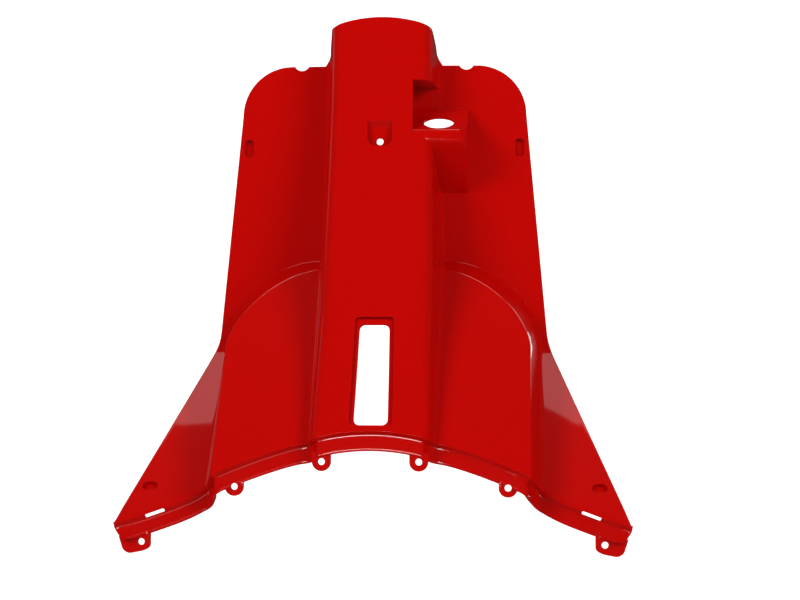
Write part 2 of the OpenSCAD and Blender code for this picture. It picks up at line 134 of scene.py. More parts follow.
def placed(name: str, data: bpy.types.ID) -> bpy.types.Object:
    """Makes an object of its data and puts it in the scene."""
    made = bpy.data.objects.new(name, data)
    bpy.context.scene.collection.objects.link(made)
    return made


def settled(thing: bpy.types.Object) -> Mesh:
    """Returns the mesh that an object's modifiers make."""
    return bpy.data.meshes.new_from_object(thing.evaluated_get(bpy.context.evaluated_depsgraph_get()))


@dataclass(frozen=True)
class Sheet:
    """The flat wings, the ramp under them and the outline round both."""

    crown_h: float = 422.0
    wing_h: float = 380.0
    wing_half: float = 147.0
    waist_half: float = 169.0
    waist_z: float = 90.0
    corner_half: float = 245.2
    corner_drop: float = 89.0
    top_r: float = 50.0
    top_in: float = 84.0
    wall: float = 2.6
    ramp: float = 0.83
    bend: float = 9.0
    wrap: float = 9.0
    wrap_x: float = 60.0
    wrap_w: float = 120.0
    wrap_blend: float = 0.3
    waist_r: float = 14.0

    def ramp_t(self, z):
        """Returns the depth of the wings and of the ramp at heights z."""
        return self.ramp * knee(self.waist_z + self.bend - z, self.bend)

    def base_t(self, x, z):
        """Returns the depth with the edges of the wings drawn back a little."""
        u = np.clip((np.abs(x) - self.wrap_x) / self.wrap_w, 0, 2)
        near = np.clip(0.5 + (1 - u) / self.wrap_blend, 0, 1)
        return self.ramp_t(z) - self.wrap * (1 + (u - 1) * near - self.wrap_blend / 2 * near * (1 - near)) ** 2

    def edge_x(self, z):
        """Returns the half width of the outline at heights z."""
        up = (self.waist_half - self.wing_half) / (self.wing_h - self.top_r - self.waist_z)
        out = (self.corner_half - self.waist_half) / (self.corner_drop + self.waist_z)
        d = self.waist_z + self.waist_r - z
        return self.waist_half + up * (self.waist_z - z) + (out - up) * knee(d, self.waist_r)


@dataclass(frozen=True)
class Column:
    """The long hollow bulge that covers the steering column."""

    face_top: float = 45.0
    sweep_r: float = 880.0
    crown_h: float = 422.0
    top_half: float = 53.5
    low_half: float = 57.0
    edge_r: float = 15.0
    draft: float = 0.04
    fillet: float = 7.0
    crown_rise: float = 9.5
    face_fall: float = 4.0
    widen_z: float = 150.0
    widen_h: float = 240.0
    foot_share: float = 0.8
    edge_most: float = 0.45
    fillet_most: float = 0.3
    side_turn: float = 83.0
    n_face: int = 10
    n_edge: int = 12
    n_side: int = 6
    n_fillet: int = 9

    def face_t(self, z):
        """Returns the depth of the middle of the face at heights z."""
        s = self.crown_h - z
        return self.face_top + self.sweep_r - np.sqrt(self.sweep_r**2 - s * s)

    def half(self, z):
        """Returns the half width of the column face at heights z."""
        return mix(self.low_half, self.top_half, soft((z - self.widen_z) / self.widen_h))

    def side_x(self, z, t):
        """Returns how far out the side wall is at heights z and depths t."""
        return self.half(z) + self.draft * (self.face_t(z) - t)

    def foot_x(self, z, t):
        """Returns where the column side meets the wing or the footwell."""
        return self.side_x(z, t) + self.fillet * self.foot_share

    def section(self, foot: np.ndarray, rise: np.ndarray, crown: np.ndarray) -> np.ndarray:
        """Works out half of the column, from its middle out to its foot.

        Args:
            foot: the feet of all rows, as x, t and z.
            rise: how far each row climbs from its foot to the edge of the face.
            crown: how far each row climbs over the face.

        Returns:
            The nodes of every row, middle first and without the foot, as rows by nodes by x, t and z.
        """
        x_f, t_b, z_f = (foot[:, k][:, None] for k in range(3))
        rise, crown = rise[:, None], crown[:, None]
        z_e = z_f + rise
        a = self.half(z_e)
        bare = self.face_t(z_e) - self.face_fall - t_b
        r = np.minimum(self.edge_r, self.edge_most * bare)
        start = a - r
        lean = np.arctan(2 * self.face_fall * start / a**2)
        x_s, t_s = x_f - self.foot_share * self.fillet, t_b + np.minimum(self.fillet, self.fillet_most * bare)
        end = np.full_like(a, math.radians(self.side_turn))
        for _ in range(3):
            x_a = start + r * (np.sin(end) - np.sin(lean))
            t_a = self.face_t(z_e) - self.face_fall * (start / a) ** 2 + r * (np.cos(end) - np.cos(lean))
            end = np.pi / 2 - np.arctan((x_s - x_a) / (t_a - t_s))
        x = shares(self.n_face) * start
        z = z_e + crown * (1 - (x / a) ** 2)
        face = [x, self.face_t(z) - self.face_fall * (x / a) ** 2, z]
        turn = mix(lean, end, shares(self.n_edge))
        x = start + r * (np.sin(turn) - np.sin(lean))
        z = z_e + crown * (1 - (x / a) ** 2) * np.cos(turn) ** 0.5
        edge = [x, self.face_t(z) - self.face_fall * (start / a) ** 2 + r * (np.cos(turn) - np.cos(lean)), z]
        f = shares(self.n_side)
        t = mix(t_a, t_s, f)
        side = [mix(x_a, x_s, f), t, z_f + rise * ((t - t_b) / (t_a - t_b)) ** 0.5]
        f = shares(self.n_fillet)
        t = bezier(t_s, t_b, t_b, f)
        root = [bezier(x_s, x_s, x_f, f), t, z_f + rise * (np.maximum(t - t_b, 0) / (t_a - t_b)) ** 0.5]
        parts = [np.stack(np.broadcast_arrays(*p), axis=-1) for p in (face, edge, side, root)]
        return np.concatenate(parts, axis=1)


@dataclass(frozen=True)
class Footwell:
    """The raised area for the rider's feet, with a rounded shoulder and a sloped wall round it."""

    sheet: Sheet = field(default_factory=Sheet)
    column: Column = field(default_factory=Column)
    height: float = 22.0
    slope: float = 0.64
    tall: float = 24.0
    margin: float = 17.8
    top: float = 164.1
    turn: float = 84.0
    wall_w: float = 12.5
    roundness: float = 1.61
    foot_roundness: float = 1.98
    top_r: float = 1.0
    foot_r: float = 3.0
    step_side: float = 12.0
    step_pad: float = 42.0
    out_more: float = 15.0
    wall_up: float = 2.0
    straight: float = 0.65
    q_in: float = 0.46
    q_out: float = 0.54
    lean_least: float = 30.0
    lean_most: float = 89.0

    @property
    def half(self) -> float:
        """Half width of the raised footwell."""
        return self.sheet.waist_half - self.margin

    @property
    def out_drop(self) -> float:
        """Drop of the step line just outside the wall."""
        return self.step_pad + self.out_more

    @staticmethod
    def arch(q, roundness: float, x0: float, x1: float, z0: float, z1: float) -> np.ndarray:
        """Returns points of a rounded shoulder, share 0 at the column and 1 at the side."""
        q = np.asarray(q, float) * math.pi / 2
        e = 2 / roundness
        return pair(x0 + (x1 - x0) * np.sin(q) ** e, z0 + (z1 - z0) * np.maximum(np.cos(q), 0) ** e)

    def crease(self, q) -> np.ndarray:
        """Returns points of the upper edge of the wall."""
        inner = self.column.foot_x(self.top, self.height)
        return self.arch(q, self.roundness, inner, self.half, self.turn, self.top)

    def outer(self, q) -> np.ndarray:
        """Returns points of the foot of the wall."""
        top = self.top + self.wall_w + self.wall_up
        return self.arch(q, self.foot_roundness, self.column.foot_x(top, 0), self.half + self.wall_w, self.turn, top)

    def side(self, v, outer: bool) -> np.ndarray:
        """Returns points of the crease or of the foot of the wall, from the step up to mid shoulder."""
        path, low, half, arc_z, q_end = (
            (self.outer, -self.out_drop, self.half + self.wall_w, self.turn, self.q_out) if outer
            else (self.crease, -self.step_pad, self.half, self.turn, 0.5)
        )
        v = np.asarray(v, float)
        straight = pair(half, mix(low, arc_z, v / self.straight))
        curved = path(mix(1.0, q_end, np.clip((v - self.straight) / (1 - self.straight), 0, 1)))
        return np.where((v < self.straight)[..., None], straight, curved)

    def wall_profile(self) -> tuple[np.ndarray, np.ndarray]:
        """Works out the rounded section of the wall.

        Returns:
            The shares across the wall and the shares of its height at the same places, the crease first.
        """
        both = self.top_r + self.foot_r
        low, high = math.radians(self.lean_least), math.radians(self.lean_most)
        for _ in range(40):
            lean = (low + high) / 2
            length = (self.wall_w - both * math.sin(lean)) / math.cos(lean)
            tall = both * (1 - math.cos(lean)) + length * math.sin(lean)
            low, high = (lean, high) if tall < self.tall else (low, lean)
        turns = np.linspace(0, lean, 7)
        d = [self.top_r * np.sin(turns)]
        h = [self.tall - self.top_r * (1 - np.cos(turns))]
        run = np.linspace(0, 1, 4)[1:-1]
        d.append(d[0][-1] + run * length * math.cos(lean))
        h.append(h[0][-1] - run * length * math.sin(lean))
        d.append(self.wall_w - self.foot_r * np.sin(turns[::-1]))
        h.append(self.foot_r * (1 - np.cos(turns[::-1])))
        return np.concatenate(d) / self.wall_w, np.clip(np.concatenate(h) / self.tall, 0, 1)

    def face_t(self, z):
        """Returns the depth of the raised panel at heights z."""
        return self.height + self.slope * (self.top - np.minimum(z, self.top))

    def rise(self, share, z):
        """Returns how far a share of the wall stands over the ramp at heights z."""
        return share * (self.face_t(z) - self.sheet.ramp_t(z))


@dataclass
class ShellPlan:
    """Lays the lines of the moulding over its outline, so that they follow the shoulder of the footwell."""

    sheet: Sheet
    column: Column
    pad: Footwell
    n_panel: int = 26
    n_flare: int = 24
    n_low: int = 46
    n_up: int = 66
    mid_up: float = 4.0
    side_share: float = 0.6
    top_share: float = 0.34
    edge_share: float = 0.92
    foot_rise: float = 4.0
    step_bow: float = 1.25
    flare_bow: float = 0.75

    def step_line(self, f) -> np.ndarray:
        """Returns points of the lower step under the footwell."""
        pad = self.pad
        x0 = self.column.foot_x(-pad.step_side, pad.face_t(-pad.step_side))
        return pair(mix(x0, pad.half, f), -mix(pad.step_side, pad.step_pad, np.asarray(f, float) ** self.step_bow))

    def flare_line(self, f) -> np.ndarray:
        """Returns points of the lower step under the flare."""
        pad, sheet = self.pad, self.sheet
        drop = mix(pad.out_drop, sheet.corner_drop, np.asarray(f, float) ** self.flare_bow)
        return pair(mix(pad.half + pad.wall_w, sheet.corner_half, f), -drop)

    def edge_mid(self) -> float:
        """Returns the height where the lines of the waist meet the outline."""
        return float(self.pad.outer(0.5)[1]) + self.mid_up

    def edge_down(self, v) -> np.ndarray:
        """Returns points of the outline from the lower corner up to the waist."""
        z = mix(-self.sheet.corner_drop, self.edge_mid(), np.asarray(v, float))
        return pair(self.sheet.edge_x(z), z)

    def top_corner(self, turn) -> np.ndarray:
        """Returns points of the round top corner, by the turn from its side."""
        s = self.sheet
        return pair(s.wing_half - s.top_r + s.top_r * np.cos(turn), s.wing_h - s.top_r + s.top_r * np.sin(turn))

    def edge_up(self, v) -> np.ndarray:
        """Returns points of the outline from the waist up to the middle of the top corner."""
        v = np.asarray(v, float)
        z = mix(self.edge_mid(), self.sheet.wing_h - self.sheet.top_r, np.clip(v / self.side_share, 0, 1))
        straight = pair(self.sheet.edge_x(z), z)
        turn = 45 / (1 - self.side_share) * (v - self.side_share)
        return np.where((v < self.side_share)[..., None], straight, self.top_corner(np.radians(turn)))

    def top_line(self, f) -> np.ndarray:
        """Returns points of the top edge of the wing, out to the middle of its corner."""
        s, f = self.sheet, np.asarray(f, float)
        straight = pair(mix(s.top_in, s.wing_half - s.top_r, f / self.top_share), s.wing_h)
        turn = 90 - 45 * (f - self.top_share) / (1 - self.top_share)
        return np.where((f < self.top_share)[..., None], straight, self.top_corner(np.radians(turn)))

    def panel(self, f, v) -> np.ndarray:
        """Returns points of the footwell panel."""
        pad = self.pad
        z = mix(-pad.step_side, pad.top, v)
        left = pair(self.column.foot_x(z, pad.face_t(z)), z)
        return coons(f, v, self.step_line, lambda q: pad.crease(q / 2), left, pad.side(v, False))

    def wing(self, q, v) -> np.ndarray:
        """Returns points of the wing between the column and its corner."""
        pad, s = self.pad, self.sheet
        x_up, z = self.column.foot_x(s.wing_h, 0), mix(pad.outer(0.0)[1], s.wing_h, v)
        left = pair(self.column.foot_x(z, 0), z)
        right = line(pad.outer(0.5), np.array([s.top_in, s.wing_h]))(v)
        return coons(
            q * 2, v, lambda f: pad.outer(f / 2), lambda f: pair(mix(x_up, s.top_in, f), s.wing_h), left, right
        )

    def tip(self, f, v) -> np.ndarray:
        """Returns points of the outer part of the wing."""
        mid, top = self.pad.outer(0.5), np.array([self.sheet.top_in, self.sheet.wing_h])
        return coons(f, v, line(mid, self.edge_up(0.0)), self.top_line, line(mid, top)(v), self.edge_up(v))

    def flare(self, f, v, inner: np.ndarray) -> np.ndarray:
        """Returns points of the flare, for shares of its own and points of its inner side."""
        top = line(self.pad.outer(0.5), self.edge_up(0.0))
        return coons(f, v, self.flare_line, top, inner, self.edge_down(v))

    def shoulder(self, a, b) -> np.ndarray:
        """Returns points of the wall at the middle of the shoulder."""
        pad = self.pad
        c, side, up = pad.crease(0.5), pad.outer(pad.q_out), pad.outer(pad.q_in)
        right = pad.outer(mix(pad.q_out, 0.5, b))
        return coons(a, b, line(c, side), lambda f: pad.outer(mix(pad.q_in, 0.5, f)), line(c, up)(b), right)

    def half_sheet(self) -> np.ndarray:
        """Works out the wing, footwell and flare on one side.

        Returns:
            The nodes from the foot of the column out to the edge, as rows by nodes by x, t and z.
        """
        pad = self.pad
        s, share = pad.wall_profile()
        wall, fall = s[1:], share[1:]
        low, panel = np.linspace(0, 1, self.n_low + 1), np.linspace(0, 1, self.n_panel + 1)
        up, flare = np.linspace(0, 1, self.n_up + 1)[1:], np.linspace(0, 1, self.n_flare + 1)[1:]
        across, along = np.meshgrid(wall, wall)
        turned = np.interp(across + along - across * along, s, share)

        def block(rows: np.ndarray, cols: np.ndarray, place, raised=0.0) -> np.ndarray:
            """Returns x, z and the share of the wall at every node of a block."""
            f, v = np.meshgrid(cols, rows)
            return np.concatenate([place(f, v), np.broadcast_to(raised, f.shape)[..., None]], axis=-1)

        def over_wall(f, v):
            """Returns points of the wall over the panel."""
            return mix(pad.crease(f / 2), pad.outer(pad.q_in * f), v[..., None])

        def beside_wall(f, v):
            """Returns points of the wall beside the panel."""
            return mix(pad.side(v, False), pad.side(v, True), f[..., None])

        def past_wall(f, v):
            """Returns points of the flare level with the shoulder's wall."""
            return self.flare(f, mix(self.edge_share, 1.0, v), pad.outer(mix(pad.q_out, 0.5, v)))

        blocks = (
            (
                block(low, panel, self.panel, 1.0),
                block(low, wall, beside_wall, fall[None, :]),
                block(low, flare, lambda f, v: self.flare(f, self.edge_share * v, pad.side(v, True))),
            ),
            (
                block(wall, panel, over_wall, fall[:, None]),
                block(wall, wall, self.shoulder, turned),
                block(wall, flare, past_wall),
            ),
            (
                block(up, panel, lambda f, v: self.wing(pad.q_in * f, v)),
                block(up, wall, lambda f, v: self.wing(mix(pad.q_in, 0.5, f), v)),
                block(up, flare, self.tip),
            ),
        )
        rows = np.concatenate([np.concatenate(row, axis=1) for row in blocks], axis=0)
        x, z, raised = np.moveaxis(rows, -1, 0)
        return np.stack([x, self.sheet.base_t(x, z) + pad.rise(raised, z), z], axis=-1)

    def full_rows(self) -> np.ndarray:
        """Works out the whole outer skin above the lower step, as rows by nodes by x, t and z."""
        half, c, s = self.half_sheet(), self.column, self.sheet
        foot = half[:, 0]
        w = np.clip((foot[:, 2] + self.pad.step_side) / (s.wing_h + self.pad.step_side), 0, 1)
        rise = mix(self.foot_rise, s.crown_h - c.crown_rise - s.wing_h, w)
        crown = mix(self.pad.step_side - self.foot_rise, c.crown_rise, w)
        half = np.concatenate([c.section(foot, rise, crown), half], axis=1)
        return np.concatenate([half[:, :0:-1] * np.array([-1, 1, 1]), half], axis=1)


@dataclass
class Shell:
    """Turns the laid lines into a closed wall with a stepped lower flange and a lip turned back round the wings."""

    plan: ShellPlan
    step_back: float = 5.0
    flange_h: float = 16.0
    even: float = 7.0
    edge_r: float = 0.7
    corner_r: float = 0.9
    corner_in: float = 0.29
    lip_in: float = 1.3
    end_w: float = 16.0
    end_cut: float = 8.0
    end_rise: float = 0.3
    n_flange: int = 5
    n_step: int = 6
    plain_rim: Profile = field(
        default_factory=lambda: [
            (0.2, 0.1), (0.4, 0.4), (0.5, 0.8), (0.5, 1.1), (0.5, 1.3),
            (0.5, 1.6), (0.45, 1.9), (0.4, 2.2), (0.3, 2.4), (0.1, 2.55),
        ]
    )
    lip_rim: Profile = field(
        default_factory=lambda: [
            (0.5, 0.12), (0.92, 0.45), (1.2, 1.0), (1.3, 2.0), (1.3, 5.0),
            (1.3, 8.4), (0.9, 9.0), (-0.9, 9.0), (-1.3, 8.4), (-1.3, 5.5),
        ]
    )

    def normals(self, g: np.ndarray) -> np.ndarray:
        """Returns the outward normals of a grid of x, y and z."""
        across = np.gradient(g, axis=1)
        up = np.gradient(g, axis=0)
        return unit(np.cross(across, up))

    def skins(self) -> tuple[np.ndarray, np.ndarray, np.ndarray]:
        """Works out the outer skin, the skin behind it and the normals.

        Returns:
            Three grids of x, y and z, the lowest row first, with y the depth away from the rider.
        """
        rows = self.plan.full_rows()
        body = np.stack([rows[..., 0], -rows[..., 1], rows[..., 2]], axis=-1)
        wall = self.plan.sheet.wall
        n = self.normals(body)
        behind = body - n * wall
        edge = body[0]
        spot = np.concatenate([[0.0], np.cumsum(np.linalg.norm(np.diff(edge, axis=0), axis=1))])
        near = np.exp(-(((spot[:, None] - spot[None, :]) / self.even) ** 2)) * np.gradient(spot)[None, :]
        n0, down = unit(near @ n[0]), unit(near @ unit(body[0] - body[1]))
        z = np.array([0.0, 0.0, 1.0])
        n_f = unit(np.cross(unit(near @ np.gradient(edge, axis=0)), z))
        ends = np.clip((np.abs(edge[:, :1]) - self.plan.sheet.corner_half + self.end_w) / self.end_w, 0, 1)
        cut = np.sign(edge[:, :1]) * np.array([self.end_cut, 0.0, 0.0]) * ends
        r, rc, d = self.edge_r, self.corner_r, self.step_back
        lip = edge + down * r
        corner = lip - n0 * d
        turns = [math.radians(a) for a in (30, 60)]
        steps = [edge + down * r * math.sin(a) - n0 * r * (1 - math.cos(a)) for a in turns]
        steps += [lip - n0 * r, lip - n0 * (d - rc)]
        steps += [corner + n0 * rc * self.corner_in - z * rc * self.corner_in, corner - z * rc]
        inner_edge = lip - down * wall - n0 * wall
        inner_corner = corner - n_f * wall + down * -wall * 0.5
        inner_steps = [inner_edge] * 3 + [inner_corner] * 2 + [corner - z * rc - n_f * wall]
        flange = [
            corner - z * (rc + (self.flange_h - rc) * k) * (1 - self.end_rise * ends * k) - cut * k
            for k in np.arange(1, self.n_flange + 1) / self.n_flange
        ]
        inner_flange = [p - n_f * wall for p in flange]
        behind[0] = inner_edge
        outer = np.concatenate([np.array((steps + flange)[::-1]), body])
        inner = np.concatenate([np.array((inner_steps + inner_flange)[::-1]), behind])
        grid_n = self.normals(outer)
        grid_n[: self.n_flange] = n_f
        return outer, inner, grid_n

    def lip_share(self, i: int, j: int, n_i: int) -> float:
        """Returns the share of the turned lip at a rim node: whole round the wings, none on column and flange."""
        c = self.plan.column
        k = abs(i - (n_i - 1) // 2)
        low = self.n_flange + self.n_step
        if j < self.n_flange:
            return 0.0
        if j < low:
            return 0.5 * (j - self.n_flange) / (low - self.n_flange)
        if k < c.n_face + c.n_edge:
            return 0.0
        if k < c.n_face + c.n_edge + c.n_side + c.n_fillet:
            return (k - c.n_face - c.n_edge) / (c.n_side + c.n_fillet)
        return min(1.0, 0.5 + (j - low) / self.n_step)

    def mesh(self) -> Mesh:
        """Builds the closed wall of the moulding as a mesh in millimetres, with y away from the rider."""
        outer, inner, n = self.skins()
        n_j, n_i = outer.shape[:2]
        rim = [(n_i - 1, j) for j in range(n_j)] + [(i, n_j - 1) for i in range(n_i - 2, -1, -1)]
        rim += [(0, j) for j in range(n_j - 2, -1, -1)] + [(i, 0) for i in range(1, n_i - 1)]
        at = tuple(np.array(rim).T[::-1])
        edge = outer[at]
        share = np.array([self.lip_share(i, j, n_i) for i, j in rim])[:, None]
        along = unit(np.roll(edge, -1, axis=0) - np.roll(edge, 1, axis=0))
        out = unit(np.cross(along, n[at]))
        back = unit(mix(-n[at], np.array([0.0, 1.0, 0.0]), share))
        inner[at] -= out * (self.lip_in * share)
        rings = [
            edge + out * mix(p[0], q[0], share) + back * mix(p[1], q[1], share)
            for p, q in zip(self.plain_rim, self.lip_rim)
        ]
        points = np.concatenate([outer.reshape(-1, 3), inner.reshape(-1, 3), *rings])
        n_g = n_i * n_j
        index = np.arange(n_g).reshape(n_j, n_i)
        a, b, c, d = index[:-1, :-1], index[:-1, 1:], index[1:, 1:], index[1:, :-1]
        between = 2 * n_g + np.arange(len(rings) * len(rim)).reshape(-1, len(rim))
        loops = np.array([index[at], *between, index[at] + n_g])
        after = np.roll(loops, -1, axis=1)
        quads = ((a, b, c, d), (a + n_g, d + n_g, c + n_g, b + n_g), (loops[:-1], loops[1:], after[1:], after[:-1]))
        faces = np.concatenate([np.stack(quad, axis=-1).reshape(-1, 4) for quad in quads])
        return tidy(mesh_of("shell", points.tolist(), faces.tolist()))


def tidy(mesh: Mesh) -> Mesh:
    """Merges doubles of a closed mesh, drops empty faces and turns all its faces outward."""
    bm = bmesh.new()
    bm.from_mesh(mesh)
    bmesh.ops.remove_doubles(bm, verts=bm.verts, dist=1e-4)
    bmesh.ops.dissolve_degenerate(bm, edges=bm.edges, dist=1e-5)
    bmesh.ops.recalc_face_normals(bm, faces=bm.faces)
    if bm.calc_volume(signed=True) < 0:
        bmesh.ops.reverse_faces(bm, faces=bm.faces)
    bm.to_mesh(mesh)
    bm.free()
    return mesh


class Axis(Enum):
    """The way a drawing is pulled into a block."""

    TOWARD = "toward"
    ACROSS = "across"
    UP = "up"


def loft(rings) -> Mesh:
    """Builds the closed block through rings of points."""
    points = np.asarray(rings, float)
    index = np.arange(points.shape[0] * points.shape[1]).reshape(points.shape[:2])
    faces = [index[0].tolist(), index[-1].tolist()[::-1]]
    for k, m in enumerate(np.roll(np.arange(points.shape[1]), -1)):
        faces += np.stack([index[:-1, k], index[:-1, m], index[1:, m], index[1:, k]], axis=-1).tolist()
    return tidy(mesh_of("loft", points.reshape(-1, 3).tolist(), faces))


def block(points: Profile, axis: Axis, start: float, end: float) -> Mesh:
    """Pulls a closed drawing into a block.

    Args:
        points: corners of the drawing: x and z toward the rider, t and z across, or x and t up.
        axis: the way it is pulled.
        start: where the block begins along that way, in t, x or z.
        end: where it ends.

    Returns:
        The closed mesh, in millimetres with y away from the rider.
    """
    place = {
        Axis.TOWARD: lambda p, d: (p[0], -d, p[1]),
        Axis.ACROSS: lambda p, d: (d, -p[0], p[1]),
        Axis.UP: lambda p, d: (p[0], -p[1], d),
    }[axis]
    return loft([[place(p, d) for p in points] for d in (start, end)])


def rounded(points: Profile, radii: list[float], steps: int = 6) -> Profile:
    """Rounds the corners of a closed drawing, from the given distances on each side; 0 leaves a corner sharp."""
    made: Profile = []
    for k, (p, r) in enumerate(zip(points, radii)):
        if not r:
            made.append(p)
            continue
        here = Vector(p)
        before = (Vector(points[k - 1]) - here).normalized() * r + here
        after = (Vector(points[(k + 1) % len(points)]) - here).normalized() * r + here
        made += [tuple(bezier(before, here, after, step / steps)) for step in range(steps + 1)]
    return made


def rod(middle: Vector, axis: Vector, radius: float, back: float, front: float, sides: int = 64) -> Mesh:
    """Builds a round rod about an axis, from back to front along it, in millimetres with y away from the rider."""
    axis = axis.normalized()
    side = axis.cross(Vector((1, 0, 0)) if abs(axis.x) < 0.9 else Vector((0, 1, 0))).normalized()
    other = axis.cross(side)
    turns = [2 * math.pi * k / sides for k in range(sides)]
    ring = [(side * math.cos(a) + other * math.sin(a)) * radius for a in turns]
    return loft([[middle + axis * d + p for p in ring] for d in (back, front)])


def together(meshes: list[Mesh]) -> Mesh:
    """Joins meshes that don't touch into one."""
    bm = bmesh.new()
    for mesh in meshes:
        bm.from_mesh(mesh)
    made = bpy.data.meshes.new("together")
    bm.to_mesh(made)
    bm.free()
    return made


def mirrored(mesh: Mesh) -> Mesh:
    """Returns a mesh together with its mirror image across the middle."""
    other = mesh.copy()
    other.transform(Matrix.Scale(-1, 4, Vector((1, 0, 0))))
    return together([mesh, tidy(other)])


class Cut(Enum):
    """What a carving step does with its tool."""

    ADD = "UNION"
    TAKE = "DIFFERENCE"
    KEEP = "INTERSECT"


def carve(mesh: Mesh, tool: Mesh, how: Cut) -> Mesh:
    """Adds, takes or keeps the tool's solid and returns a new closed mesh."""
    work, helper = placed("work", mesh), placed("tool", tool)
    step = work.modifiers.new("carve", "BOOLEAN")
    step.operation, step.solver, step.object = how.value, "MANIFOLD", helper
    made = settled(work)
    for o in (work, helper):
        bpy.data.objects.remove(o)
    return made


@dataclass(frozen=True)
class ScrewPocket:
    """The sunk pocket in the column face, with the column screw's hole low in its floor."""

    column: Column
    wall: float
    screw_z: float = 293.0
    hole_d: float = 7.0
    depth: float = 7.0
    slant: float = 1.5
    width: float = 25.0
    up: float = 15.0
    down: float = 5.0
    corner: float = 5.0
    corner_r: float = 2.0
    skin: float = 1.6
    roof_grow: float = 0.4
    reach: float = 60.0

    @property
    def seat_t(self) -> float:
        """Depth of the pocket's floor."""
        return float(self.column.face_t(self.screw_z)) - self.depth

    def body(self, grow: float, back: float) -> Mesh:
        """Builds the pocket's space, grown by a wall and ending at a depth."""
        seat, half = self.seat_t - grow, self.width / 2 + grow
        low, high = self.screw_z - self.down - grow, self.screw_z + self.up + grow * self.roof_grow
        slant = self.screw_z + self.up + (back - self.seat_t) * self.slant + grow
        side = block([(seat, low), (seat, high), (back, slant), (back, low)], Axis.ACROSS, -half - 5, half + 5)
        far, c, r = self.screw_z + self.reach, self.corner, self.corner_r
        corners = [(-half + c, low), (half - c, low), (half, low + c), (half, far), (-half, far), (-half, low + c)]
        front = block(rounded(corners, [r, r, r, 0, 0, r], 4), Axis.TOWARD, seat - 1, back + 1)
        return carve(side, front, Cut.KEEP)

    def walls(self) -> Mesh:
        """Builds the pocket's walls, ending inside the wall of the column."""
        c = self.column
        middle = Vector((0, -c.face_top - c.sweep_r, c.crown_h))
        sweep = rod(middle, Vector((1, 0, 0)), c.sweep_r + self.skin, -self.reach, self.reach, 512)
        return carve(self.body(self.wall, float(c.face_t(self.screw_z))), sweep, Cut.TAKE)

    def hole(self) -> Mesh:
        """Builds the rod that bores the screw's hole."""
        middle = Vector((0, -self.seat_t, self.screw_z))
        return rod(middle, Vector((0, -1, 0)), self.hole_d / 2, -3 * self.wall, 3 * self.wall)


@dataclass(frozen=True)
class Window:
    """The long opening low in the column, with a frame sunk round its top and sides."""

    column: Column
    wall: float
    top: float = 103.0
    low: float = 5.0
    width: float = 29.0
    flare: float = 3.5
    frame_w: float = 4.5
    frame_top: float = 8.0
    frame_d: float = 4.0
    corner_r: float = 5.5
    frame_r: float = 4.0
    backing_r: float = 6.0
    backing_low: float = 1.5
    sunk: float = 1.2
    clear: float = 12.0
    through: float = 40.0
    least: float = 0.05

    def body(self, side: float, above: float, below: float, r: float, deep: float, proud: float) -> Mesh:
        """Builds a slab with the window's outline that follows the sweep of the column face.

        Args:
            side: growth of the outline at each side.
            above: growth at the top.
            below: growth at the bottom.
            r: radius of its corners.
            deep: depth of its back behind the face.
            proud: how far its front stands before the face; negative is sunk.

        Returns:
            The closed mesh.
        """
        z0, z1 = self.low - below, self.top + above
        turns = np.linspace(0, np.pi / 2, 9)
        middle = np.linspace(z0 + r, z1 - r, 40)[1:-1]
        z = np.concatenate([z0 + r * (1 - np.cos(turns)), middle, z1 - r * (1 - np.sin(turns))])
        half = self.width / 2 + side + self.flare / 2 * np.clip((z1 - z) / (z1 - z0), 0, 1)
        near = np.minimum(z - z0, z1 - z)
        half = half - np.where(near < r, r - np.sqrt(np.maximum(r * r - (r - near) ** 2, 0)), 0)
        half = np.maximum(half, self.least)
        face = self.column.face_t(z)
        back, front = face - deep, face + proud
        sides = [(-half, back), (half, back), (half, front), (-half, front)]
        return loft(np.stack([np.stack([x, -t, z], axis=-1) for x, t in sides], axis=1))

    def backing(self) -> Mesh:
        """Builds the wall behind the sunk frame."""
        w = self.wall
        low, r = self.backing_low, self.backing_r
        return self.body(self.frame_w + w, self.frame_top + w, low, r, self.frame_d + w, -self.sunk)

    def frame(self) -> Mesh:
        """Builds the space of the sunk frame."""
        return self.body(self.frame_w, self.frame_top, 0, self.frame_r, self.frame_d, self.clear)

    def opening(self) -> Mesh:
        """Builds the space of the opening itself."""
        return self.body(0, 0, 0, self.corner_r, self.through, self.clear)


